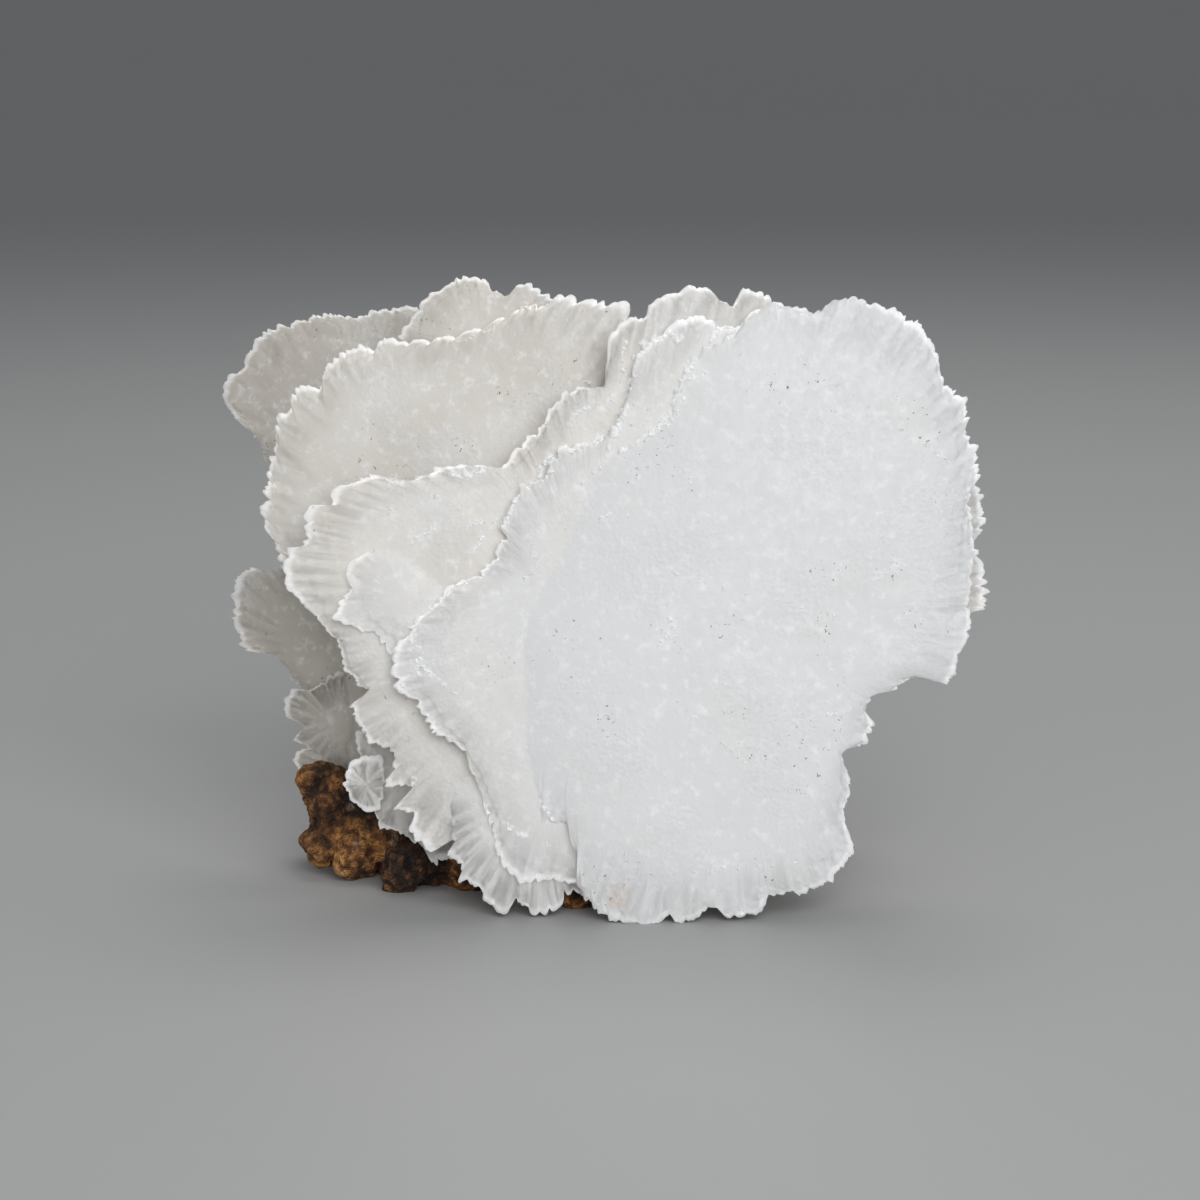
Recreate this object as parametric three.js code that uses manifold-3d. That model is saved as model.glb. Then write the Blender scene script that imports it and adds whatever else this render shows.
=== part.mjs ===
// Platy calcite on a limonite matrix, in millimetres, +Z up, +X to the right as it is looked at.
// Thin, nearly parallel calcite plates with scalloped rims stand on edge and lean back a little.
// Plates that are grown through each other are one solid. Those that only lean on their
// neighbours are solids of their own. The roots of all of them sit in a rough brown lump of
// limonite, which has a flat underside that the specimen rests on.
import * as THREE from "three";
import { mergeVertices } from "three/addons/utils/BufferGeometryUtils.js";
import Module from "manifold-3d";

// The specimen's own frame: the middle of its footprint, on the surface that it rests on.
const FOOTPRINT_MIDDLE = { x: -1.9, y: 15.4 };

// The outlines of the plates that show from the front are drawn as an eye sees them, in
// millimetres across and up a flat sheet that stands square to the line of sight at AIM.
const AIM_HEIGHT = 48.2;
const EYE_DISTANCE = 426.7;
const EYE_LOOKS_DOWN = 12;

// Scallops of a plate's rim: how far their notches cut in, the usual width of one, and where its
// corners are, from one notch to the next.
const SCALLOP_DEPTH = 0.8;
const SCALLOP_ROUNDNESS = 0.45;
const SEEN_SCALLOPS = { width: 5.6, corners: [0, 0.3, 0.7] };
const HIDDEN_SCALLOPS = { width: 10, corners: [0, 0.5] };

// How a plate's faces rise from its sharp rim.
const BEVEL_WIDTH = 3;
const BEVEL_SHARE_OF_THICKNESS = 0.62;
const INNER_RING = 0.5;
const INNER_SHARE_OF_THICKNESS = 0.92;
const ANGLE_STEPS = 720;

// The play between a solid and the one that is grown against it.
const GROWTH_GAP = 0.35;

const CALCITE = { color: 0xdedbd4, roughness: 0.4, metalness: 0 };
const LIMONITE = { color: 0x6e4420, roughness: 0.95, metalness: 0 };

// Families of parallel plates, and the solid that each is part of. lean is how far the tops go back
// from upright and turn how far the right side goes back, in degrees. depth is how far back the
// family's foremost plane crosses the line of sight through AIM.
const FAMILIES = {
  front: { solid: "front_sheets", depth: -6.0, lean: 14, turn: 3 },
  middle: { solid: "middle_plates", depth: 4.0, lean: 15, turn: -3 },
  upperRear: { solid: "upper_rear_plate", depth: 12.0, lean: 17, turn: -20 },
  lowerLeft: { solid: "lower_left_plate", depth: 8.0, lean: 11, turn: -20 },
  leftFoot: { solid: "left_foot_plates", depth: 7.0, lean: 6, turn: -14 },
  foot: { solid: "front_foot_plates", depth: 4.0, lean: 8, turn: 2 },
};

// Plates that show from the front. behind is how far one lies behind its family's foremost plane.
// outline goes clockwise from the left as [across, up], and a third number is how far the rim
// bends back there, to run into the plate behind it.
const SEEN_PLATES = [
  {
    name: "front sheet",
    family: "front", behind: 0, thickness: 3.2, middle: [19.2, -1.6], seed: 11,
    outline: [
      [-15.2, -14.4, 2.6], [-14.4, -3.2, 2.6], [-9.6, 8.0, 2.6], [-3.2, 17.6, 2.2], [2.0, 23.2, 0.8],
      [7.6, 26.0], [11.2, 29.0], [12.6, 34.8], [15.4, 38.6], [21.6, 42.6], [24.6, 45.8], [29.8, 47.0],
      [34.8, 46.0], [36.8, 47.6], [42.4, 47.6], [48.2, 45.4], [53.6, 40.6], [55.2, 34.0], [58.2, 32.0],
      [58.6, 27.0], [60.0, 22.4], [59.2, 15.4], [59.8, 8.8], [59.0, 0], [58.8, -5.6], [56.6, -9.8],
      [55.6, -13.4], [50.6, -11.6], [46.8, -14.2], [44.2, -14.4], [42.4, -17.2], [43.4, -19.6],
      [41.2, -22.6], [38.6, -24.0], [39.8, -29.6], [38.8, -34.0], [40.4, -40.2], [37.6, -43.8],
      [33.8, -46.2], [27.4, -46.8], [25.4, -49.4], [21.8, -50.4], [17.8, -49.2], [13.4, -51.6],
      [11.2, -50.2], [8.8, -52.2], [2.6, -50.8], [-1.0, -48.4], [-3.4, -44.6], [-2.2, -41.4],
      [-4.4, -40.0], [-3.6, -36.2], [-7.0, -35.4], [-9.8, -31.2], [-12.8, -24.0, 1.6],
    ],
  },
  {
    name: "second sheet",
    family: "front", behind: 2.1, thickness: 3.0, middle: [0, -3.2], seed: 23,
    outline: [
      [-32.8, -9.2], [-31.2, -6.0], [-26.8, -1.0], [-22.8, 2.4], [-18.2, 4.2], [-15.4, 9.0, 0.8],
      [-14.8, 14.2], [-13.0, 17.2], [-8.6, 19.6], [-7.8, 22.6], [-3.8, 24.8], [1.0, 26.0], [4.4, 30.4],
      [5.0, 34.6], [6.2, 38.8], [9.8, 42.6], [16.4, 45.0], [18.8, 43.2], [21.8, 43.4], [24.4, 46.0],
      [33.4, 44.8], [43.0, 43.6], [51.6, 38.4], [55.8, 30.0], [57.8, 19.2], [57.4, 6.4], [55.6, -6.0],
      [46.0, -10.6], [36.4, -22.0], [35.6, -36.2], [22.4, -44.0], [8.0, -45.4], [-2.8, -44.6],
      [-6.2, -45.2], [-8.6, -44.0], [-11.4, -44.8], [-14.0, -43.6], [-16.2, -40.6], [-17.2, -36.4],
      [-18.4, -32.4], [-20.6, -27.4], [-22.2, -23.6], [-24.8, -21.8], [-29.4, -16.4], [-32.8, -12.4],
    ],
  },
  {
    name: "ear sheet",
    family: "front", behind: 3.2, thickness: 2.2, middle: [-31.0, 0], seed: 31,
    outline: [
      [-41.8, -2.8], [-41.6, -0.8], [-40.0, 1.6], [-40.6, 4.8], [-38.4, 7.0], [-35.2, 7.8],
      [-30.4, 8.2, 1.8], [-24.0, 4.8, 1.8], [-20.8, -3.2], [-27.2, -9.6], [-33.4, -8.2],
      [-35.8, -5.2], [-38.6, -4.6],
    ],
  },
  {
    name: "low sheet",
    family: "front", behind: 3.6, thickness: 2.8, middle: [-10.4, -30.4], seed: 41,
    outline: [
      [-23.6, -36.0], [-23.6, -27.4, 1.6], [-21.6, -19.2, 2.2], [-16.0, -14.4, 2.2], [-3.2, -16.0],
      [6.4, -25.6], [6.4, -38.4], [0, -44.6], [-2.6, -46.8], [-4.6, -46.2], [-6.6, -48.4],
      [-8.6, -49.8], [-11.0, -49.6], [-13.4, -48.4], [-15.0, -50.0], [-18.2, -47.8], [-19.6, -46.0],
      [-21.6, -45.2], [-22.4, -42.2], [-24.2, -40.8], [-23.0, -38.8],
    ],
  },
  {
    name: "third sheet",
    family: "front", behind: 5.4, thickness: 4.0, middle: [0, 1.6], seed: 53,
    outline: [
      [-50.4, 5.8], [-49.4, 8.0], [-47.2, 8.6], [-46.8, 12.8], [-45.2, 15.2], [-43.0, 14.8],
      [-42.4, 17.2], [-38.6, 19.2], [-35.4, 19.6], [-32.6, 18.0], [-30.0, 19.2], [-24.2, 21.0],
      [-19.0, 21.2], [-16.4, 20.4], [-13.6, 23.8], [-11.0, 25.2], [-8.4, 29.6], [-5.4, 32.6],
      [1.6, 34.4], [0.8, 36.8], [1.8, 38.4], [1.2, 40.8], [4.2, 44.6], [7.4, 45.2], [7.8, 47.2],
      [11.4, 48.8], [16.6, 49.8], [18.8, 48.2], [21.0, 46.8], [22.2, 48.8], [24.4, 49.2], [28.2, 47.0],
      [40.0, 44.4], [50.4, 39.4], [56.8, 30.4], [59.2, 20.0], [61.0, 16.2], [61.0, 12.0],
      [59.6, 9.4], [60.8, 5.0], [61.2, -0.8], [59.4, -2.0], [55.6, -6.0], [44.8, -11.2],
      [35.2, -22.4], [32.0, -35.2], [19.2, -41.6], [3.2, -42.4], [-12.8, -41.8], [-21.0, -38.0],
      [-25.2, -38.8], [-27.4, -40.4], [-28.6, -38.2], [-30.4, -36.6], [-29.6, -34.4], [-32.8, -33.2],
      [-29.4, -30.6], [-33.8, -28.6], [-32.2, -26.4], [-34.4, -23.2], [-36.6, -22.6], [-39.6, -18.0],
      [-39.0, -16.2], [-37.0, -14.8], [-38.4, -13.0], [-41.4, -10.8], [-41.2, -8.0], [-45.2, -3.2],
      [-49.6, 2.0],
    ],
  },
  {
    name: "middle plate",
    family: "middle", behind: 0, thickness: 4.6, middle: [-22.0, 10.0], seed: 61,
    outline: [
      [-48.0, 2.4], [-51.6, 8.8], [-53.6, 12.4], [-53.0, 16.0], [-52.8, 21.0], [-51.8, 25.6],
      [-51.6, 29.0], [-49.2, 30.4], [-49.4, 32.4], [-47.4, 33.6], [-44.0, 33.8], [-43.8, 36.4],
      [-39.2, 40.4], [-36.4, 39.8], [-33.8, 41.2], [-27.4, 41.2], [-20.2, 42.6], [-13.2, 46.2],
      [-8.0, 47.2], [-6.8, 48.8], [-4.4, 48.2], [-3.6, 47.4], [2.2, 47.8], [4.4, 46.6], [4.6, 44.4],
      [2.8, 40.2], [0.6, 35.8], [2.0, 31.0], [6.4, 20.0], [9.6, 0], [8.0, -24.0], [-2.0, -38.0],
      [-16.0, -40.0], [-26.0, -33.0], [-31.0, -22.0], [-37.0, -11.0], [-44.0, -1.0],
    ],
  },
  {
    name: "crown plate",
    family: "middle", behind: 3.0, thickness: 3.6, middle: [-18.6, 39.6], seed: 71,
    outline: [
      [-31.6, 42.8], [-30.2, 45.0], [-27.6, 48.2], [-25.4, 49.6], [-22.4, 51.2], [-19.2, 51.2],
      [-17.2, 49.8], [-14.6, 48.6], [-13.2, 50.2], [-11.4, 50.2], [-8.0, 48.2], [-4.0, 44.8],
      [-4.8, 33.2], [-16.0, 27.0], [-26.6, 30.0], [-30.4, 38.0],
    ],
  },
  {
    name: "upper rear plate",
    family: "upperRear", behind: 0, thickness: 4.4, middle: [-28.0, 12.0], seed: 83,
    outline: [
      [-60.2, 33.4], [-59.4, 35.8], [-57.8, 36.4], [-55.8, 40.0], [-54.4, 41.8], [-48.0, 44.2],
      [-43.6, 45.4], [-40.0, 45.0], [-32.8, 46.8], [-24.0, 44.8], [-12.0, 38.0], [-2.0, 22.0],
      [0, -6.0], [-8.0, -30.0], [-22.0, -36.0], [-32.0, -20.0], [-40.0, -4.0], [-47.0, 12.0],
      [-52.8, 22.0], [-55.4, 26.6], [-57.6, 28.4], [-59.8, 31.4],
    ],
  },
  {
    name: "lower left plate",
    family: "lowerLeft", behind: 0, thickness: 3.8, middle: [-40.0, -10.0], seed: 97,
    outline: [
      [-58.4, -1.8], [-58.6, 1.8], [-57.4, 4.4], [-53.4, 4.6], [-50.6, 5.2], [-44.8, 6.6],
      [-32.0, 4.0], [-22.0, -12.0], [-20.0, -34.0], [-33.0, -36.0], [-40.2, -24.4], [-41.2, -20.2],
      [-43.4, -18.4], [-46.4, -15.2], [-51.0, -9.6], [-52.6, -8.2], [-55.4, -8.4], [-57.2, -6.6],
    ],
  },
  {
    name: "left spur plate",
    family: "leftFoot", behind: 2.5, thickness: 3.0, middle: [-41.6, -19.6], seed: 101,
    outline: [
      [-50.4, -16.6], [-49.2, -14.4], [-46.0, -14.6], [-41.6, -11.8], [-34.0, -14.0],
      [-31.6, -27.0], [-40.0, -30.0], [-43.6, -25.8], [-45.6, -23.8], [-48.8, -22.4], [-47.4, -20.0],
      [-49.8, -18.8],
    ],
  },
  {
    name: "left foot plate",
    family: "leftFoot", behind: 4.6, thickness: 3.0, middle: [-41.6, -26.6], seed: 107,
    outline: [
      [-48.8, -26.0], [-48.2, -24.2], [-45.6, -23.6], [-41.6, -20.4], [-32.0, -22.0],
      [-31.8, -34.0], [-41.0, -35.0], [-46.8, -29.2], [-47.6, -27.4],
    ],
  },
  {
    name: "foot plate",
    family: "foot", behind: 0, thickness: 2.4, middle: [-31.0, -28.6], seed: 113,
    outline: [
      [-38.6, -29.2], [-38.0, -26.4], [-38.8, -22.4], [-32.0, -16.0], [-21.0, -22.0],
      [-19.8, -38.0], [-23.8, -41.2], [-27.0, -41.6], [-28.2, -39.2], [-32.6, -36.8], [-35.2, -35.8],
      [-36.0, -33.2],
    ],
  },
  {
    name: "foot splinter",
    family: "foot", behind: -2.0, thickness: 2.2, middle: [-37.4, -29.6], seed: 127,
    outline: [
      [-40.8, -28.0], [-38.8, -25.6], [-35.4, -25.0], [-34.6, -29.6], [-35.4, -33.4], [-38.0, -33.4],
      [-40.2, -30.6],
    ],
  },
];

// Plates that the front ones hide, all one solid. middle is a place in space, and half is half
// their width and height.
const HIDDEN_SOLID = "back_plates";
const HIDDEN_PLATES = [
  {
    name: "back plate 1", lean: 12, turn: -2, thickness: 4.2, seed: 131,
    middle: [22, 8, 52], half: [25, 30],
  },
  {
    name: "back plate 2", lean: 8, turn: 5, thickness: 4.4, seed: 139,
    middle: [8, 17, 45], half: [27, 32],
  },
  {
    name: "back plate 3", lean: 3, turn: 10, thickness: 4.0, seed: 149,
    middle: [26, 25, 38], half: [21, 27],
  },
  {
    name: "back plate 4", lean: 1, turn: -6, thickness: 4.2, seed: 157,
    middle: [-8, 28, 41], half: [25, 29],
  },
  {
    name: "back plate 5", lean: -5, turn: 7, thickness: 3.8, seed: 163,
    middle: [14, 35, 32], half: [22, 25],
  },
  {
    name: "back plate 6", lean: -10, turn: -4, thickness: 3.4, seed: 167,
    middle: [-12, 41, 26], half: [19, 21],
  },
  {
    name: "cross plate 1", lean: 3, turn: 68, thickness: 4.4, seed: 173,
    middle: [4, 24, 36], half: [20, 26],
  },
  {
    name: "cross plate 2", lean: 6, turn: -58, thickness: 4.0, seed: 181,
    middle: [-18, 29, 31], half: [16, 22],
  },
];

// Lumps of the matrix, [x, y, z, radius]: first the small ones that bulge out under the left of the
// plates, then those that carry the plates' roots.
const MATRIX_LUMPS = [
  [-45.9, 12, 14.1, 3.9],
  [-44.3, 10, 10.4, 4.2],
  [-46, 8, 5.6, 3.6],
  [-40.7, 12, 7.3, 6.2],
  [-40.3, 6, 3.4, 3.8],
  [-36.7, 8, 6.4, 4.6],
  [-32.3, -0.8, 3.2, 4.1],
  [-28, 3, 2.6, 3.6],
  [-3.8, -7.6, 1.1, 3.4],
  [-36, 17, 4, 8],
  [-28, 12, 3, 10],
  [-18, 8, 4, 11],
  [-7, 3, 3, 10],
  [-14, 22, 5, 15],
  [-28, 31, 4, 12],
  [6, 10, 4, 13],
  [10, 27, 4, 15],
  [-8, 38, 3, 11],
  [24, 18, 2, 10],
  [22, 32, 2, 9],
];
const LUMP_DETAIL = 1;
const LUMP_ROUGHNESS = 0.16;
const BLOCK = 400;

const wasm = await Module();
wasm.setup();

const radians = THREE.MathUtils.degToRad;
const aim = new THREE.Vector3(0, 0, AIM_HEIGHT);
const lookDown = radians(EYE_LOOKS_DOWN);
const sightForward = new THREE.Vector3(0, Math.cos(lookDown), -Math.sin(lookDown));
const sightUp = new THREE.Vector3(0, Math.sin(lookDown), Math.cos(lookDown));
const eye = aim.clone().addScaledVector(sightForward, -EYE_DISTANCE);

// A repeatable number from 0 to 1 for each n.
function scatter(n) {
  const wave = Math.sin(n * 12.9898) * 43758.5453;
  return wave - Math.floor(wave);
}

// The direction from the eye through a point of the sheet.
function sightLine([across, up]) {
  return sightForward
    .clone()
    .multiplyScalar(EYE_DISTANCE)
    .add(new THREE.Vector3(across, 0, 0))
    .addScaledVector(sightUp, up);
}

// A plate's own axes: across it, up it, and out of its front face.
function axesOf(lean, turn) {
  const [l, t] = [radians(lean), radians(turn)];
  const across = new THREE.Vector3(Math.cos(t), Math.sin(t), 0);
  const up = new THREE.Vector3(-Math.sin(t) * Math.sin(l), Math.cos(t) * Math.sin(l), Math.cos(l));
  return { across, up, out: across.clone().cross(up) };
}

// Where the sight line through a sheet point meets the plane through `on` that faces `out`.
function meets(point, on, out) {
  const line = sightLine(point);
  const reach = on.clone().sub(eye).dot(out) / line.dot(out);
  return eye.clone().addScaledVector(line, reach);
}

// A seen plate as its place, its axes and its outline in its own plane, as [across, up, bend].
function placeSeen(plate) {
  const { solid, depth, lean, turn } = FAMILIES[plate.family];
  const axes = axesOf(lean, turn);
  const crossing = new THREE.Vector3(0, depth, AIM_HEIGHT - depth * Math.tan(lookDown));
  const on = crossing.addScaledVector(axes.out, -plate.behind);
  const place = meets(plate.middle, on, axes.out);
  const outline = plate.outline.map(([across, up, bend = 0]) => {
    const offset = meets([across, up], on, axes.out).sub(place);
    return new THREE.Vector3(offset.dot(axes.across), offset.dot(axes.up), bend);
  });
  return { ...plate, solid, scallops: SEEN_SCALLOPS, place, axes, outline };
}

// A hidden plate's outline: an oval with uneven bulges.
function placeHidden(plate) {
  const corners = 13;
  const outline = [];
  for (let i = 0; i < corners; i++) {
    const angle = Math.PI - (i / corners) * 2 * Math.PI;
    const swell = 0.82 + 0.3 * scatter(plate.seed + i * 3.7);
    outline.push(
      new THREE.Vector3(
        plate.half[0] * swell * Math.cos(angle),
        plate.half[1] * swell * Math.sin(angle),
        0,
      ),
    );
  }
  const place = new THREE.Vector3(...plate.middle);
  const axes = axesOf(plate.lean, plate.turn);
  return { ...plate, solid: HIDDEN_SOLID, scallops: HIDDEN_SCALLOPS, place, axes, outline };
}

// The outermost reach of a closed run of points, and the rim's bend there, for even angles.
function reachByAngle(points) {
  const reach = new Float64Array(ANGLE_STEPS);
  const bend = new Float64Array(ANGLE_STEPS);
  const step = (2 * Math.PI) / ANGLE_STEPS;
  points.forEach((a, i) => {
    const b = points[(i + 1) % points.length];
    const from = Math.atan2(a.y, a.x);
    const turn = Math.atan2(a.x * b.y - a.y * b.x, a.x * b.x + a.y * b.y);
    const [low, high] = turn > 0 ? [from, from + turn] : [from + turn, from];
    for (let k = Math.ceil(low / step); k <= Math.floor(high / step); k++) {
      const [c, s] = [Math.cos(k * step), Math.sin(k * step)];
      const across = (b.x - a.x) * s - (b.y - a.y) * c;
      const share = Math.abs(across) < 1e-12 ? 0 : (a.y * c - a.x * s) / across;
      const length = (a.x + (b.x - a.x) * share) * c + (a.y + (b.y - a.y) * share) * s;
      const slot = ((k % ANGLE_STEPS) + ANGLE_STEPS) % ANGLE_STEPS;
      if (length > reach[slot]) {
        reach[slot] = length;
        bend[slot] = a.z + (b.z - a.z) * share;
      }
    }
  });
  return { reach, bend };
}

// The rim as [angle, reach, bend] at the corners of its scallops.
function scallopedRim(plate, grow) {
  const curve = new THREE.CatmullRomCurve3(plate.outline, true, "centripetal");
  const { reach, bend } = reachByAngle(curve.getPoints(plate.outline.length * 12));
  const step = (2 * Math.PI) / ANGLE_STEPS;
  const along = [0];
  for (let k = 0; k < ANGLE_STEPS; k++) {
    const [r, next] = [reach[k], reach[(k + 1) % ANGLE_STEPS]];
    along.push(along[k] + Math.hypot(r * step, next - r));
  }
  const around = along[ANGLE_STEPS];
  const count = 2 * Math.round(around / plate.scallops.width / 2);
  const border = (i) => ((i + 0.5 * (scatter(plate.seed + (i % count)) - 0.5)) * around) / count;
  const rim = [];
  let slot = 0;
  for (let i = 0; i < count; i++) {
    const height = SCALLOP_DEPTH * (0.4 + 1.2 * scatter(plate.seed * 3 + i * 7.7));
    const [start, end] = [border(i), i + 1 < count ? border(i + 1) : border(0) + around];
    for (const share of plate.scallops.corners) {
      const at = (start + share * (end - start) + around) % around;
      if (at < along[slot]) slot = 0;
      while (along[slot + 1] < at) slot++;
      const between = (at - along[slot]) / (along[slot + 1] - along[slot]);
      const next = (slot + 1) % ANGLE_STEPS;
      const swell = height * (4 * share * (1 - share)) ** SCALLOP_ROUNDNESS - SCALLOP_DEPTH / 2;
      rim.push({
        angle: (slot + between) * step,
        reach: reach[slot] + between * (reach[next] - reach[slot]) + swell + grow,
        bend: bend[slot] + between * (bend[next] - bend[slot]),
      });
    }
  }
  return rim.sort((a, b) => a.angle - b.angle);
}

// Joins two rings of corners, given by first number and count, with faces that turn one way.
function bridge(faces, outer, inner, flip) {
  let [i, j] = [0, 0];
  while (i < outer.count || j < inner.count) {
    const a = outer.first + (i % outer.count);
    const b = inner.first + (j % inner.count);
    const goOuter = j >= inner.count || (i + 0.5) / outer.count < (j + 0.5) / inner.count;
    const c = goOuter ? outer.first + ((i + 1) % outer.count) : inner.first + ((j + 1) % inner.count);
    faces.push(...(flip ? [a, b, c] : [a, c, b]));
    if (goOuter) i++;
    else j++;
  }
}

// One plate as a closed lens with a sharp scalloped rim. grow swells it all round, in millimetres.
function plateSolid(plate, grow = 0) {
  const rim = scallopedRim(plate, grow);
  const perScallop = plate.scallops.corners.length;
  const corners = [];
  const put = (reach, angle, height) => {
    const point = plate.place
      .clone()
      .addScaledVector(plate.axes.across, reach * Math.cos(angle))
      .addScaledVector(plate.axes.up, reach * Math.sin(angle))
      .addScaledVector(plate.axes.out, height);
    corners.push(point.x, point.y, point.z);
  };
  rim.forEach((r) => put(r.reach, r.angle, -r.bend));
  const faces = [];
  const edge = { first: 0, count: rim.length };
  for (const side of [1, -1]) {
    const bevel = { first: corners.length / 3, count: rim.length / perScallop };
    for (let i = 0; i < bevel.count; i++) {
      const r = rim[i * perScallop + 1];
      const share = Math.max(0.55, 1 - BEVEL_WIDTH / r.reach);
      const half = (plate.thickness / 2) * BEVEL_SHARE_OF_THICKNESS + grow;
      put(r.reach * share, r.angle, side * half - r.bend * share ** 3);
    }
    const inner = { first: corners.length / 3, count: rim.length / perScallop / 2 };
    for (let i = 0; i < inner.count; i++) {
      const r = rim[i * 2 * perScallop + 1];
      const unevenness = 0.9 + 0.2 * scatter(plate.seed + i * 1.3);
      const half = (plate.thickness / 2) * INNER_SHARE_OF_THICKNESS * unevenness + grow;
      put(r.reach * INNER_RING, r.angle, side * half - r.bend * INNER_RING ** 3);
    }
    const hub = { first: corners.length / 3, count: 1 };
    put(0, 0, side * (plate.thickness / 2 + grow));
    bridge(faces, edge, bevel, side < 0);
    bridge(faces, bevel, inner, side < 0);
    for (let i = 0; i < inner.count; i++) {
      const [a, b] = [inner.first + i, inner.first + ((i + 1) % inner.count)];
      faces.push(...(side > 0 ? [a, b, hub.first] : [b, a, hub.first]));
    }
  }
  return solidOf(new Float32Array(corners), faces);
}

// A closed mesh as a solid that can be joined and cut.
function solidOf(positions, faces) {
  const geometry = new THREE.BufferGeometry();
  geometry.setAttribute("position", new THREE.BufferAttribute(positions, 3));
  geometry.setIndex(faces);
  return solidOfGeometry(geometry);
}

function solidOfGeometry(geometry) {
  geometry.deleteAttribute("normal");
  geometry.deleteAttribute("uv");
  const merged = mergeVertices(geometry, 1e-4);
  return new wasm.Manifold(
    new wasm.Mesh({
      numProp: 3,
      vertProperties: merged.attributes.position.array,
      triVerts: new Uint32Array(merged.index.array),
    }),
  );
}

// One rounded, uneven lump of the matrix.
function lumpSolid([x, y, z, radius], number) {
  const geometry = new THREE.IcosahedronGeometry(radius, LUMP_DETAIL);
  const position = geometry.attributes.position;
  const corner = new THREE.Vector3();
  for (let i = 0; i < position.count; i++) {
    corner.fromBufferAttribute(position, i).normalize();
    const bumps =
      Math.sin(corner.x * 5.1 + number) * Math.sin(corner.y * 4.3 + number * 2) +
      Math.sin(corner.z * 6.7 + number * 3) * Math.sin(corner.x * 7.9 - number);
    corner.multiplyScalar(radius * (1 + LUMP_ROUGHNESS * bumps));
    position.setXYZ(i, corner.x + x, corner.y + y, corner.z + z);
  }
  return solidOfGeometry(geometry);
}

// All that is above the surface the specimen rests on.
function aboveSurface() {
  const block = new THREE.BoxGeometry(BLOCK, BLOCK, BLOCK).translate(0, 0, BLOCK / 2);
  return solidOfGeometry(block);
}

const joinAll = (solids) => solids.reduce((all, next) => all.add(next));

// The body of a solid that is left when its neighbours have cut off slivers.
function largestBody(solid) {
  return solid.decompose().sort((a, b) => b.volume() - a.volume())[0];
}

// A solid as a named mesh of the finished model.
function meshOf(name, solid, look) {
  const made = solid.getMesh();
  const geometry = new THREE.BufferGeometry();
  geometry.setAttribute("position", new THREE.BufferAttribute(made.vertProperties, 3));
  geometry.setIndex(new THREE.BufferAttribute(made.triVerts, 1));
  geometry.computeVertexNormals();
  const mesh = new THREE.Mesh(geometry, new THREE.MeshStandardMaterial(look));
  mesh.name = name;
  mesh.position.set(-FOOTPRINT_MIDDLE.x, -FOOTPRINT_MIDDLE.y, 0);
  return mesh;
}

const plates = [...SEEN_PLATES.map(placeSeen), ...HIDDEN_PLATES.map(placeHidden)];
const surface = aboveSurface();
const specimen = new THREE.Group();

// Each solid of calcite gives way to those before it, and the matrix gives way to all of them.
let grownBefore = null;
for (const name of new Set(plates.map((plate) => plate.solid))) {
  const own = plates.filter((plate) => plate.solid === name);
  let solid = joinAll(own.map((plate) => plateSolid(plate))).intersect(surface);
  if (grownBefore) solid = solid.subtract(grownBefore);
  specimen.add(meshOf(name, largestBody(solid), CALCITE));
  const swollen = joinAll(own.map((plate) => plateSolid(plate, GROWTH_GAP)));
  grownBefore = grownBefore ? grownBefore.add(swollen) : swollen;
}
const lumps = joinAll(MATRIX_LUMPS.map(lumpSolid)).intersect(surface);
specimen.add(meshOf("limonite_matrix", largestBody(lumps.subtract(grownBefore)), LIMONITE));

export default specimen;
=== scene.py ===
# Platy calcite on a brown limonite matrix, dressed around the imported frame.
# Each calcite piece is a union of thin plates and, on the front ones, small crumbs. A plate is a
# polar mesh: rings of points from its scalloped rim to its middle, on a front and a back face.
# Tables are in millimetres, meshes in metres, +Z up. Nothing is drawn at random without a seed.
import math

import bpy
import numpy as np
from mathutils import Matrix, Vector
from mathutils.bvhtree import BVHTree
from mathutils.kdtree import KDTree


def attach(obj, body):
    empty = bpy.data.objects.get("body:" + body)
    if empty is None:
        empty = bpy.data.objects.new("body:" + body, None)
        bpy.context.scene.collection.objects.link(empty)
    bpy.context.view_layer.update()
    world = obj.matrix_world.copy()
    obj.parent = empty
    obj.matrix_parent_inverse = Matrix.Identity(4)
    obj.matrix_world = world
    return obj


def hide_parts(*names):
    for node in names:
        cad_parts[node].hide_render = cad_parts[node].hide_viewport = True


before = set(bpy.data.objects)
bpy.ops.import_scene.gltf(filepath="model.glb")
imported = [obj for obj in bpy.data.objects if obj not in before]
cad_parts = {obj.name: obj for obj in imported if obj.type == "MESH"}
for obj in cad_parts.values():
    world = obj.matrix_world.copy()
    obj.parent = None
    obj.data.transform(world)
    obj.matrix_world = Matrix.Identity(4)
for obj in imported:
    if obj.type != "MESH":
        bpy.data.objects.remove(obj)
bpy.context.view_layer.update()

MM = 0.001

# The specimen's own frame, as the solids have it: the middle of its footprint.
FOOTPRINT_MIDDLE = np.array([-1.9, 15.4, 0.0])

# The photograph's eye. The outlines of the plates that it sees are drawn on a sheet that stands
# square to its line of sight at AIM_HEIGHT, in millimetres across and up.
AIM_HEIGHT = 48.2
EYE_DISTANCE = 426.7
EYE_LOOKS_DOWN = math.radians(12)
LENS = 80
SENSOR = 36

# Families of parallel plates: lean and turn in degrees, depth at the line of sight.
FAMILIES = {
    "front": {"depth": -6.0, "lean": 14, "turn": 3},
    "middle": {"depth": 4.0, "lean": 15, "turn": -3},
    "upper rear": {"depth": 12.0, "lean": 17, "turn": -20},
    "lower left": {"depth": 8.0, "lean": 11, "turn": -20},
    "left foot": {"depth": 7.0, "lean": 6, "turn": -14},
    "foot": {"depth": 4.0, "lean": 8, "turn": 2},
}

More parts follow.
